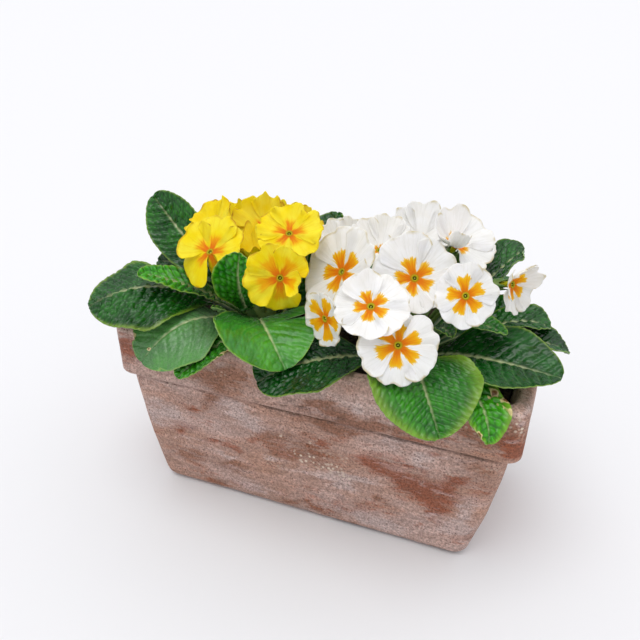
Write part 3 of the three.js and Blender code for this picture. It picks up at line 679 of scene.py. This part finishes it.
def leaf_body(leaf, crown_x, seed):
    """A leaf's two faces. Above the plain blade, the tissue rises by quilt, in millimetres,
    between the side veins and by pucker between the lines of the net, and sinks along the rib.
    A row of side veins has a number at each point: the way along, less what the veins lean
    forwards, over their gap. A vein runs where it is whole. Below the blade the same relief
    shows, and the rib stands out as a ridge that thins towards the tip."""
    points, normals, t, v, reach, x = leaf_sheet(leaf, crown_x)
    on_blade = np.stack([reach, x], axis=-1)
    gap, pucker = leaf["gap"], leaf["pucker"]
    wander = 0.1 * ripples(on_blade, 22, seed)
    order = (reach - SLANT * np.abs(x) - FORWARD * x * x) / gap + 0.45 * (x > 0) + wander
    vein_off = np.abs((order + 0.5) % 1 - 0.5) * gap * 0.85
    net = net_distance(order * gap / CELL_LONG, x / CELL_WIDE, seed)
    inside = smooth(t, 0.12, 0.3)
    rib_width = RIB_THIN + RIB_GROWTH * (1 - t)
    relief = leaf["quilt"] * (1 - bell(vein_off, 0.2 * gap)) + pucker * smooth(net, 0, 0.42) - 1.1
    relief = relief * inside * (1 - 0.6 * v**8)
    relief = relief - RIB_DEPTH * bell(x, rib_width + 0.5) * inside
    ridge = (RIDGE_THIN + RIDGE_GROWTH * (1 - t)) * bell(x, rib_width + 0.8)
    margin_off = np.abs(x[:, -1:]) - np.abs(x)
    blight = np.zeros(t.shape)
    for spot_t, spot_v, size in leaf["spots"]:
        away = np.hypot((t - spot_t) * reach[-1, 0], x - spot_v * leaf["width"] / 2)
        ragged = 1 + 0.6 * ripples(on_blade, 6, seed + 5)
        blight = np.maximum(blight, bell(away, size * ragged))
    fade = 1 - smooth(np.abs(v), 0.72, 1)
    marks = {
        "rib": bell(x, rib_width) * smooth(t, -0.2, 0.35) * (1 - smooth(t, 0.6, 1.1)),
        "vein": bell(vein_off, 0.5) * fade * inside * np.maximum(1.2 - pucker, 0),
        # The mark along the net's lines is painted shade in its sunk lines.
        "pit": (1 - smooth(net, 0.02, 0.2)) * inside * np.minimum(pucker, 1),
        "margin": bell(margin_off, leaf["pale_edge"]) * smooth(t, 0.2, 0.4),
        "blight": blight,
        "young": leaf["young"] * (0.35 + 0.65 * smooth(t, 0.3, 0.75)),
        # The dust mark is real dust and a painted grey sheen.
        "dust": leaf["dust"],
    }
    over = points + normals * (LEAF_SKIN + relief)[..., None]
    under = points + normals * (0.8 * relief - LEAF_SKIN - ridge)[..., None]
    return outward(blade(over, under, marks))


# %% [markdown]
# ## The leaves of the two plants
#
# Each leaf has its compass angle and height at the crown, the point that its rib bends towards,
# its tip, its width, and how far its face rolls about the rib in degrees. Then comes what is its
# own: cup, fold and wave shape its cross-section, and side is the way its blade faces if it isn't
# level. quilt and pucker are the heights of its two kinds of bulge, and gap is the way between
# two side veins. young makes it bright, its dust value greys it with dust and a painted sheen,
# and pale_edge is how wide its margin yellows. A bite is a place along the rib, a side, a depth
# and a length, and a spot of dead tissue is a place along, a place across and a size.

# %% Where every leaf grows


def leaf_at(angle, low, bend, tip, width, roll=0, **own):
    """One leaf, with what most leaves share wherever its own values say nothing else."""
    shared = {"cup": 0.12, "fold": 0.1, "wave": 0.06, "quilt": 1, "pucker": 1,
              "gap": 4 + width / 15, "young": 0.15, "dust": 0, "pale_edge": 0.9,
              "bites": [], "spots": []}
    return {**shared, "angle": angle, "low": low, "bend": bend, "tip": tip, "width": width,
            "roll": roll, **own}


YELLOW_LEAVES = [
    leaf_at(165, 136, (-125, 12, 174), (-169, 34, 204), 46, -58, young=0.25, pucker=1.2, quilt=1.4),
    leaf_at(206.1, 132.7, (-112.6, -49.3, 193.3), (-159, -75.6, 159.2), 74, -14, young=0.15,
            pucker=1.2, quilt=1.5, fold=-0.32, pale_edge=2.5),
    leaf_at(220, 138, (-92.8, -42.1, 177.3), (-128, -56.1, 182.8), 26, -15, young=0.95, pucker=1.3,
            quilt=1.6),
    leaf_at(168, 125, (-110, 18, 162), (-160, 17, 155), 36, -28, young=0),
    leaf_at(268.7, 139, (-56, -51.7, 178.5), (-51.7, -46.2, 207.1), 36, 7, side=(1, 0, 0),
            young=0.9, pucker=1.2, cup=0.3),
    leaf_at(254.5, 130, (-68.5, -37.4, 154.1), (-76.7, -44.1, 159.9), 14, young=0.3),
    leaf_at(230.5, 128.1, (-85.9, -61.7, 177.4), (-113.2, -86, 129.5), 70, -12.5, young=0.5,
            pucker=0.35, quilt=0.6, fold=-0.15, dust=0.28, bites=[(0.93, 1, 3.5, 0.015)],
            spots=[(0.93, 0.6, 2.5), (0.9, 0.05, 1.2)]),
    leaf_at(275.4, 124, (-51.5, -47.2, 158), (-79.6, -93.9, 130), 36, 4, young=0.5,
            spots=[(0.78, -1, 3), (0.7, -1, 4), (0.6, -1, 3)]),
    leaf_at(296.8, 127.1, (-41.8, -53, 184.4), (-4.6, -79.9, 146.3), 74, -4.1, young=0.7,
            pucker=0.35, quilt=0.7, dust=0.08, bites=[(0.6, -1, 24, 0.02)]),
    leaf_at(350, 132, (-24, -6, 160), (-18, -5, 200), 30, side=(1, 0, 0)),
    leaf_at(45.3, 134, (-30.4, 27.1, 177.5), (-20.1, 62.2, 201.4), 38),
    leaf_at(20, 126, (-24, 22, 170), (6, 44, 156), 42),
    leaf_at(70.8, 126, (-43.2, 51.8, 166.5), (-32, 92, 148), 44),
    leaf_at(114, 127, (-80, 50, 170), (-98, 92, 154), 48),
    leaf_at(139, 131, (-98, 40, 178), (-140, 78, 168), 46),
]
WHITE_LEAVES = [
    leaf_at(237.1, 127, (10, -66, 160), (-24.5, -84, 134), 66, -12, young=0, pucker=1.2),
    leaf_at(283.5, 129.2, (72.5, -64.1, 177.4), (102.6, -96.6, 133.4), 74, -1.5, young=0.5,
            pucker=0.8, quilt=1, gap=5.4, pale_edge=6.5),
    leaf_at(323.1, 129.9, (87.9, -28, 159), (164.1, -41.7, 158.5), 58, 16, young=0, pucker=0.6,
            quilt=0.8, spots=[(0.93, -0.75, 3)]),
    leaf_at(310.9, 126, (123.9, -61.6, 161.2), (129.8, -80.5, 125.3), 32, 1.6, young=1, wave=0.22,
            cup=0.25, pucker=1, pale_edge=3,
            spots=[(0.7, -1, 4), (0.8, -1, 3), (0.92, 0.6, 3), (0.6, -0.7, 3)]),
    leaf_at(12, 132, (131.1, 16.1, 173), (151, 15, 160), 38, -2.3),
    leaf_at(359.8, 125.1, (139.8, -2.5, 169.7), (165.1, 0.6, 152.5), 42, -10, young=0),
    leaf_at(44, 135, (114.8, 54.4, 192.9), (122.8, 54.9, 196.7), 56, -18),
    leaf_at(344, 135.5, (81.2, -10, 179.2), (126, -24.9, 171.9), 22, 2.2, young=0.6),
    leaf_at(300, 139, (79.6, -24.6, 178.3), (94, -40, 171), 16),
    leaf_at(64, 128, (86, 52, 172), (108, 92, 156), 44),
    leaf_at(106, 127, (47, 47.2, 169.7), (36, 94.2, 151.9), 46),
    leaf_at(148, 129, (33.7, 24.2, 172.9), (1.8, 60.5, 158.9), 40),
    leaf_at(38, 126, (102, 31, 166), (142, 59.9, 145), 38),
    leaf_at(190, 131, (36, -6, 164), (15, -9, 164), 28),
]

# %% Grow the leaves
for side, crown_x, leaves in (("left", -CROWN_X, YELLOW_LEAVES), ("right", CROWN_X, WHITE_LEAVES)):
    for number, leaf in enumerate(leaves, start=1):
        name = f"leaf_{side}_{number:02d}"
        grown = piece(name + "_blade", leaf_body(leaf, crown_x, number), leaf_finish)
        stand_for(grown, name)
    print(side, "leaves:", len(leaves), "faces of the last one:", len(grown.data.polygons))

# %% [markdown]
# ## Petal tissue
#
# Primrose petals are soft, thin and matt, and let a little light through. Each white petal has
# an orange arm that starts at the eye, deepens towards it, and ends in teeth half way out. The
# yellow petals have thin orange streaks there instead. Old petals turn beige from the edge. The
# mesh keeps measures at each point: share, from 0 at the eye to 1 at the edge and below 0 down
# the throat; lateral, from -1 to 1 across a petal; arm, how far inside the orange arm it is;
# seed, one number for each petal; and aged, how old the flower is.

# %% A finish for both colours of petal
CLOUD_SIZE = 11.11


def petal_finish(name, body, pale, vein, edge, fringe, arm_tip, arm_root, soft):
    """The layers from the outside in: body, faint veins, aged edge, orange arms with a yellow
    fringe, ring, painted shade down the throat, and pin. soft is how gradually an arm ends."""
    material, tree, place = start_material(name)
    mark = {key: node(tree, "Attribute", {}, attribute_name=key).outputs["Fac"]
            for key in ("share", "lateral", "arm", "seed", "aged", "back")}
    on_petal = node(tree, "CombineXYZ", {0: mark["lateral"], 1: mark["share"],
                                         2: mark["seed"]}).outputs[0]
    drawn_out = node(tree, "Mapping", {"Vector": on_petal, "Scale": (9, 1.2, 7)}).outputs[0]
    streaks, blotches, cloud = (
        node(tree, "TexNoise", {"Vector": where, "Scale": scale, "Detail": detail,
                                "Roughness": rough}).outputs[0]
        for where, scale, detail, rough in (
            (drawn_out, 1.6, 3, 0.6), (on_petal, 2.2, 2, 0.5),
            (place, 1 / (CLOUD_SIZE * MM), 2, 0.5)))
    rim, blotched, armed = (
        node(tree, "MapRange", {"Value": value, "From Min": low, "From Max": high}).outputs[0]
        for value, low, high in ((mark["share"], 0.92, 0.99), (blotches, 0.46, 0.62),
                                 (mark["back"], 1, 0)))
    rim = node(tree, "Math", {0: rim, 1: blotched}, operation="MULTIPLY").outputs[0]
    worn = node(tree, "Math", {0: mark["aged"], 1: blotches, 2: rim},
                operation="MULTIPLY_ADD").outputs[0]
    ragged = node(tree, "Math", {0: streaks, 1: 0.35, 2: -0.175}, operation="MULTIPLY_ADD")
    inside = node(tree, "Math", {0: mark["arm"], 1: ragged.outputs[0]}, operation="ADD").outputs[0]
    orange = node(tree, "MapRange", {"Value": inside, "From Min": -soft / 3, "From Max": soft,
                                     "To Max": armed}).outputs[0]
    deeper = node(tree, "Math", {0: streaks, 1: -0.7, 2: mark["share"]},
                  operation="MULTIPLY_ADD").outputs[0]
    glow = lay_over(tree, arm_tip, [(deeper, 0.06, -0.26, 1, arm_root),
                                    (inside, 0.13, 0, 0.8, fringe)])
    # The dark olive layer down the throat is painted shade.
    tone = lay_over(tree, body, [
        (cloud, 0.38, 0.62, 1, pale), (streaks, 0.48, 0.7, 0.4, vein), (worn, 0, 1, 1, edge),
        (orange, 0, 1, 1, glow), (mark["share"], 0.04, 0, 1, "#a8a416"),
        (mark["share"], -0.05, -0.4, 1, "#303c0a"), (mark["share"], -1.5, -1.6, 1, "#c9c95a")])
    bump = node(tree, "Bump", {"Height": streaks, "Strength": 0.3, "Distance": 0.6 * MM})
    end_material(tree, {
        "Base Color": tone, "Normal": bump.outputs[0], "Roughness": 0.62, "IOR": 1.25,
        "Subsurface Weight": 0.3, "Subsurface Scale": 3 * MM, "Subsurface Radius": (1, 0.95, 0.8)})
    return material


white_petal = petal_finish("white primrose petal", "#f6f4ef", "#fcfbf9", "#dddbd2", "#c9b98c",
                           "#f7cf2e", "#f7a400", "#e36c00", 0.02)
yellow_petal = petal_finish("yellow primrose petal", "#f9da02", "#fce730", "#eec200", "#c08a12",
                            "#f5c800", "#f5a900", "#e66c00", 0.16)

# %% [markdown]
# ## The shape of a flower
#
# Five heart-shaped petals, six in one of the flowers, spread from a narrow tube. Each petal is a
# grid of its own: one parameter runs from the eye to the edge, the other across. Neighbours
# overlap, so each petal lies a little higher on one side and lower on the other. A raised ring
# stands round the throat, with the round top of the pin in it. A flower could be sculpted once
# and copied, but real ones all open differently, and here a few numbers make each its own.

# %% Sizes of a flower
EYE_RADIUS, TUBE_RADIUS, TUBE_LENGTH = 2.3, 1.9, 11
PETAL_SKIN = 0.16  # half a petal's thickness
PETAL_ROWS, PETAL_COLUMNS = 31, 35
OVERLAP = 0.34  # how far a petal reaches over its neighbours, as a share of its own sector
PARTED = 45  # petals whose lifts differ by more degrees than this don't pull on each other
SHOULDER, GROOVE = 0.2, 0.5  # how round a petal's corners are, and how deep its middle line is
SCALLOPS = ((0.009, 9), (0.004, 23))  # share of the radius, and waves across in radians
PIN_RADIUS, STYLE_RADIUS, PIN_DEPTH = 0.55, 0.25, 7
# Radius, height and share of the ring and the tube, from inside the throat to the tube's end.
THROAT = [(0.05, -PIN_DEPTH, -1), (0.9, -PIN_DEPTH, -1), (1, -2, -0.7), (1.15, -0.3, -0.2),
          (1.5, 0.45, -0.02), (2, 0.6, 0), (2.5, 0.35, 0.03), (2.8, -0.1, 0.05), (2.6, -0.9, 0),
          (2.1, -3, 0), (TUBE_RADIUS, -5, 0), (TUBE_RADIUS, -TUBE_LENGTH, 0),
          (0.05, -TUBE_LENGTH, 0)]


def facing(bloom):
    """The way a bloom faces, from its compass angle and its height above level."""
    azimuth, elevation = np.radians(bloom["face"])
    level = np.cos(elevation)
    return np.array([np.cos(azimuth) * level, np.sin(azimuth) * level, np.sin(elevation)])


def placed(local, bloom):
    """Points of a bloom that lies flat at the origin, turned to its facing and moved to its
    middle: x times the level side, y times the upward side, z times the facing."""
    z = facing(bloom)
    x = unit(np.cross(UP, z))
    y = np.cross(z, x)
    return np.array(bloom["at"]) + local[..., :1] * x + local[..., 1:2] * y + local[..., 2:] * z


def arm_inside(s, sector, star):
    """How far inside its petal's orange arm a place is, below 0 outside. The arm ends at star
    of the way out, with a shallow notch, and takes the whole sector at the eye but three
    quarters of it further out."""
    end = star * (1 - 0.06 * bell(sector, 0.15) - 0.35 * np.abs(sector) ** 2.5)
    half = 0.76 + 0.5 * (1 - smooth(s, 0.0, 0.45 * star))
    return np.minimum(end - s, 0.4 * (half - np.abs(sector)))


def petal_body(bloom, index, seed):
    """One petal. Outwards it reaches the bloom's radius times an outline with a notch in the
    middle, round shoulders and small scallops. It rises by its lift, meets its neighbours'
    lift at the sides, sags along its middle and is ruffled by waves that grow to the edge."""
    rng = np.random.default_rng(seed * 10 + index)
    lifts, frill = bloom["lifts"], bloom["frill"]
    petals = len(lifts)
    s = np.linspace(0, 1, PETAL_ROWS)[:, None]
    a = np.linspace(-1, 1, PETAL_COLUMNS)[None, :]
    sector = a * (1 + OVERLAP * smooth(s, 0.05, 0.6))
    angle = np.radians(bloom["spin"]) + np.pi / petals * (2 * index + sector)
    notch = rng.uniform(0.04, 0.09) * bell(a, 0.15)
    phase = rng.uniform(0, 2 * np.pi, 6)
    scallop = sum(high * np.sin(pace * a + start)
                  for (high, pace), start in zip(SCALLOPS, phase[3:5]))
    outline = 0.99 - notch - SHOULDER * np.abs(a) ** 4 + frill * scallop
    radius = bloom["across"] / 2 * rng.uniform(0.96, 1.03)
    reach = (radius * outline - EYE_RADIUS) * s
    beside = np.where(a < 0, lifts[index - 1], lifts[(index + 1) % petals])
    held = np.abs(beside - lifts[index]) < PARTED
    share = smooth(np.abs(a), 0.3, 1) * (1 - 0.5 * s) / 2 * held
    slope = np.radians((lifts[index] * (1 - share) + beside * share) * (0.6 + 0.4 * s))
    ruffle = np.sin(6.5 * a + phase[0]) + 0.6 * np.sin(12 * a + phase[1])
    height = reach * np.sin(slope) - np.sin(np.pi * a) * s * s + 0.7 * a * s**1.2
    height = height + frill * ruffle * s**4 - GROOVE * bell(a, 0.12) * s * (1 - 0.4 * s)
    height = height + (0.8 + 0.4 * frill) * s * (1 - s) * np.cos(2.4 * a + phase[2])
    local = round_points(EYE_RADIUS + reach * np.cos(slope), angle, height)
    normals = unit(np.cross(np.gradient(local, axis=0), np.gradient(local, axis=1)))
    skin = normals * PETAL_SKIN
    marks = {"share": s, "lateral": a, "arm": arm_inside(s, sector, bloom["star"]),
             "seed": rng.uniform(0, 9), "aged": bloom["aged"]}
    return outward(blade(placed(local + skin, bloom), placed(local - skin, bloom), marks))


def turned_body(profile, sides, bloom):
    """Rows of radius, height and share, carried round the bloom's own axis."""
    radius, height, share = np.array(profile).T[:, :, None]
    rings = placed(round_points(radius, turns(sides), height), bloom)
    return outward(ring_body(rings, {"share": share, "arm": 0.3}))


def bloom_body(bloom, seed):
    """All petals, the raised ring with the tube behind it, and the pin: a thin style with a
    round top."""
    petals = [petal_body(bloom, index, seed) for index in range(len(bloom["lifts"]))]
    style = [(0.02, -PIN_DEPTH, -2), (STYLE_RADIUS, -PIN_DEPTH, -2), (STYLE_RADIUS, -1, -2)]
    top = [(max(PIN_RADIUS * np.cos(turn), 0.02), PIN_RADIUS * np.sin(turn) - 0.5, -2)
           for turn in np.linspace(-np.pi / 2, np.pi / 2, 9)[1:]]
    return joined([*petals, turned_body(THROAT, 20, bloom), turned_body(style + top, 12, bloom)])


# %% [markdown]
# ## The flowers of the two plants
#
# Each flower has the middle of its face, the way it faces as a compass angle and a height above
# level, its breadth, and the lift of each petal in degrees, one round against the clock. spin is
# the angle at which the first petal stands, which is the top unless it is given. star is how far
# out the orange reaches, aged is how beige the petals are, and frill is how ruffled they are,
# which the yellow plant has more of.

# %% Where every flower stands


def flower_at(at, face, across, lifts, **own):
    """One flower, with what most flowers share wherever its own values say nothing else."""
    return {"at": at, "face": face, "across": across, "lifts": lifts,
            "spin": 90, "star": 0.45, "aged": 0, **own}


YELLOW_BLOOMS = [
    flower_at((-80.4, -35.2, 198.1), (-105.9, 54), 56, (14, 14, -24, -70, 10), spin=96, star=0.5,
              frill=0.6),
    flower_at((-23.5, -44.2, 192.8), (-68, 20), 52, (-28, 60, 34, 12, 8), spin=-90, star=0.68),
    flower_at((-28.9, -15.3, 212.4), (-71, 60), 48, (14, 10, 8, 5, 12), star=0.5),
    flower_at((-53.8, -16.6, 191.3), (-104.5, 79.7), 50, (50, 46, 44, 50, 52), star=0.1),
    flower_at((-98, 3.8, 198.3), (-129.7, 59.1), 50, (28, 22, 10, 14, 28), star=0.35, aged=0.2),
    flower_at((-62.5, 14.9, 200.3), (-94, 63.1), 50, (40, 32, 12, 16, 36), star=0.3, aged=0.35),
    flower_at((-91.8, 33.1, 188), (-115, 59.4), 46, (42, 34, 14, 14, 36), star=0.3),
    flower_at((-38.6, 26.2, 196), (-59.4, 64.6), 42, (40, 32, 12, 14, 30), star=0.3, aged=0.5),
    flower_at((-58, 54, 188), (92, 18), 42, (10, 10, 6, 6, 12)),
]
WHITE_BLOOMS = [
    flower_at((12.3, -21.8, 193.7), (-120.7, 37.1), 66, (14, 10, 2, 10, 22), spin=60, star=0.48),
    flower_at((62.9, -24.1, 199.6), (-72.2, 37.2), 60, (12, 10, 34, 32, 10), spin=112, star=0.44),
    flower_at((46.7, -66.6, 196.9), (-80.8, 60.1), 49, (26, 8, 8, 2, 2), spin=120, star=0.42),
    flower_at((67.3, -74.9, 178.8), (-65.7, 32.9), 52, (-34, -10, 8, 4, 6, -4), spin=80, star=0.56),
    flower_at((14.4, -59.4, 177.8), (-118, 4), 38, (8, 8, 4, 4, 8), spin=80, star=0.8, aged=0.3),
    flower_at((98.4, -36.4, 199.7), (-60, 30), 42, (12, 10, 6, 6, 10), spin=95, star=0.58),
    flower_at((123, -8, 199), (-25, 20), 42, (60, 34, 10, 10, 50), star=0.5, aged=0.3),
    flower_at((29.8, 7.3, 200.3), (-95.8, 75.1), 56, (36, 38, 24, 24, 38), star=0.14, aged=0.2),
    flower_at((81.3, 10.5, 211.9), (-50, 60), 54, (40, 45, 74, 6, 12), star=0.3),
    flower_at((51.1, 38.5, 199.5), (-82.2, 72.3), 58, (44, 40, 28, 28, 40), star=0.12),
    flower_at((82.4, 49.8, 196), (-20, 72), 46, (12, 16, 20, 12, 6), star=0.2),
    flower_at((-0.7, 18.9, 191.2), (-114.7, 63.1), 52, (42, 36, 40, 40, 34), star=0.12),
    flower_at((31.1, 50.8, 191.2), (115.6, 32.4), 44, (14, 10, 6, 6, 12)),
    flower_at((51.9, 64.7, 186.7), (84.2, 24.6), 40, (14, 10, 6, 6, 12)),
]
PLANTS = (("yellow", -CROWN_X, YELLOW_BLOOMS, yellow_petal, 2.0),
          ("white", CROWN_X, WHITE_BLOOMS, white_petal, 0.9))

# %% Open the flowers
for colour, crown_x, blooms, finish, frill in PLANTS:
    for number, bloom in enumerate(blooms, start=1):
        name = f"bloom_{colour}_{number:02d}"
        opened = piece(name + "_petals", bloom_body({"frill": frill, **bloom}, number), finish)
        stand_for(opened, name)
    print(colour, "flowers:", len(blooms), "faces of the last one:", len(opened.data.polygons))

# %% [markdown]
# ## Stalks and calyces
#
# Every flower sits on a soft stalk from the crown and in a ribbed green cup with five points.
# The stalk is a round profile carried along a curve. The cup is a surface over height and angle:
# its radius swells at five ribs, and its upper edge rises to a point above each rib. Hairs are
# too fine to show, so the finish is only soft and matt, and darker along the ribs.

# %% Soft green stalk
SOFT_SIZE = 8.333
stalk_finish, tree, place = start_material("soft primrose stalk")
rib = node(tree, "Attribute", {}, attribute_name="rib").outputs["Fac"]
soft = node(tree, "TexNoise", {"Vector": place, "Scale": 1 / (SOFT_SIZE * MM),
                               "Detail": 3}).outputs[0]
tone = lay_over(tree, "#5d7a35", [(soft, 0, 1, 1, "#86994f"), (rib, 0, 1, 1, "#3c6a24")])
end_material(tree, {"Base Color": tone, "Roughness": 0.6})

# %% Stalk, cup and crown
CROWN_BOTTOM, CROWN_TOP = 104, 142
PEDICEL_RADIUS, CALYX_RADIUS = 1.6, 3.9
STALK_RADIUS = 0.85 * PEDICEL_RADIUS
CUP_HEIGHT, CUP_POINTS = 8, 5  # the cup's height, and how much higher its points are
CUP_INSIDE = 0.86  # the breadth of its inside, as a share of its outside


def stalk_body(bloom, crown_x):
    """A tube along a curve with four points: up from the crown, then into the flower's axis."""
    nod = facing(bloom)
    end = np.array(bloom["at"]) - nod * (TUBE_LENGTH + 4)
    across = end - [crown_x, 0, end[2]]
    spread = min(1, np.linalg.norm(across) / 40) * (CROWN_RADIUS - 4)
    start = unit(across) * spread + [crown_x, 0, CROWN_TOP - 6]
    rise = end[2] - start[2]
    near, far = start + UP * rise * 0.45, end - nod * rise * 0.3
    t = np.linspace(0, 1, 25)[:, None]
    path = (1 - t) ** 3 * start + 3 * t * (1 - t) ** 2 * near
    path = path + 3 * t * t * (1 - t) * far + t**3 * end
    ahead = unit(np.gradient(path, axis=0))
    first = unit(np.cross(ahead, np.cross(UP, nod)))
    second = np.cross(ahead, first)
    angle = turns(10)[None, :, None]
    ring = first[:, None] * np.cos(angle) + second[:, None] * np.sin(angle)
    return outward(ring_body(path[:, None] + ring * STALK_RADIUS, {"rib": 0.15}))


def calyx_body(bloom):
    """Outside up, over the points and inside down again. The radius grows from the stalk's to
    the cup's in the lowest third, and narrows again towards the points."""
    angle = turns(40)[None, :]
    ribs = np.cos(2.5 * (angle - np.radians(bloom["spin"] + 90))) ** 2
    h = np.linspace(0, 1, 15)[:, None]
    radius = PEDICEL_RADIUS + (CALYX_RADIUS - PEDICEL_RADIUS) * smooth(h, 0, 0.35)
    radius = radius * (1 + 0.1 * (ribs - 0.5)) - 0.5 * smooth(h, 0.5, 1)
    height = -TUBE_LENGTH - 5.4 + h * (CUP_HEIGHT + CUP_POINTS * ribs**1.5)
    outer = round_points(radius, angle, height)
    inner = outer[::-1] * [CUP_INSIDE, CUP_INSIDE, 1] + [0, 0, 0.3]
    rings = np.concatenate([outer, inner[:-3]])
    dark = np.full(rings.shape[:2], 0.3)
    dark[:len(outer)] = ribs**3
    return outward(ring_body(placed(rings, bloom), {"rib": dark}))


def crown_body(crown_x):
    """The stub that leaves and stalks grow from, ringed by the scars of old leaves."""
    h = np.linspace(0, 1, 24)[:, None]
    angle = turns(48)[None, :]
    radius = CROWN_RADIUS * np.sqrt(np.clip(1 - smooth(h, 0.85, 1.1) * 0.8, 0, 1))
    radius = radius * (0.96 + 0.04 * np.sin(9 * angle + 20 * h))
    height = CROWN_BOTTOM + h * (CROWN_TOP - CROWN_BOTTOM)
    rings = round_points(radius, angle, height) + [crown_x, 0, 0]
    return outward(ring_body(rings, {"rib": 0.5}))


for colour, crown_x, blooms, *_ in PLANTS:
    bodies = [crown_body(crown_x)]
    for bloom in blooms:
        bodies += [stalk_body(bloom, crown_x), calyx_body(bloom)]
    stalks = piece(f"stalks_{colour}_soft", joined(bodies), stalk_finish)
    stand_for(stalks, "stalks_" + colour)
    print(colour, "stalk faces:", len(stalks.data.polygons))

# %% [markdown]
# ## Floor, light and camera
#
# The box stands on a plain pale floor under soft studio light. A sky that is bright overhead and
# grey near the horizon keeps the gloss of the leaves in small patches, and a broad soft lamp
# above makes the shadow. The camera looks down on it at about 30 degrees, from in front and a
# little to the right.

# %% Floor
FLOOR_HALF = 12000
floor_finish, tree, _ = start_material("matt white studio floor")
end_material(tree, {"Base Color": "#eaeaec", "Roughness": 0.9})
corners = np.array([(-1, -1, 0), (1, -1, 0), (1, 1, 0), (-1, 1, 0)]) * FLOOR_HALF
floor = piece("studio_floor", {"points": corners, "fields": np.array([[0, 1, 2, 3]]),
                               "triangles": np.zeros((0, 3), int), "marks": {}}, floor_finish)

# %% Sky
bpy.context.scene.view_settings.view_transform = "Standard"
world = bpy.data.worlds.new("studio")
bpy.context.scene.world = world
world.use_nodes = True
tree = world.node_tree
height = node(tree, "SeparateXYZ", {0: node(tree, "TexCoord", {}).outputs["Generated"]}).outputs[2]
sky = tree.nodes["Background"]
tree.links.new(lay_over(tree, "#bcbdc0", [(height, 0, 0.8, 1, "#fafafc")]), sky.inputs["Color"])
sky.inputs["Strength"].default_value = 1.06
print("sky nodes:", len(tree.nodes))

# %% Lamp and camera
SUN_FROM, SUN_ENERGY, SUN_BREADTH = np.array([-0.15, -0.35, 1.6]), 0.88, 40
CAMERA_AT = np.array([154.17, -442.86, 411.11])
CAMERA_RIGHT = np.array([0.9346, 0.3556, 0.0108])
CAMERA_UP = np.array([-0.1859, 0.4621, 0.8671])
LENS, SENSOR, CLIP_END = 41.08, 36, 50


def set_up(made, right, up, at):
    """Links an object that looks along minus z, with x to its right and y up, at a place."""
    turn = np.eye(4)
    turn[:3, :3] = np.stack([right, up, np.cross(right, up)], axis=1)
    turn[:3, 3] = at
    made.matrix_world = Matrix(turn.tolist())
    bpy.context.scene.collection.objects.link(made)


light = bpy.data.lights.new("overhead", "SUN")
light.energy, light.angle = SUN_ENERGY, np.radians(SUN_BREADTH)
sun_right = unit(np.cross(UP, SUN_FROM))
sun_up = np.cross(unit(SUN_FROM), sun_right)
set_up(bpy.data.objects.new("overhead", light), sun_right, sun_up, SUN_FROM)
camera = bpy.data.objects.new("camera", bpy.data.cameras.new("camera"))
camera.data.lens, camera.data.sensor_width, camera.data.clip_end = LENS, SENSOR, CLIP_END
set_up(camera, CAMERA_RIGHT, CAMERA_UP, CAMERA_AT * MM)
bpy.context.scene.camera = camera
print("camera:", [round(c) for c in CAMERA_AT], "mm")
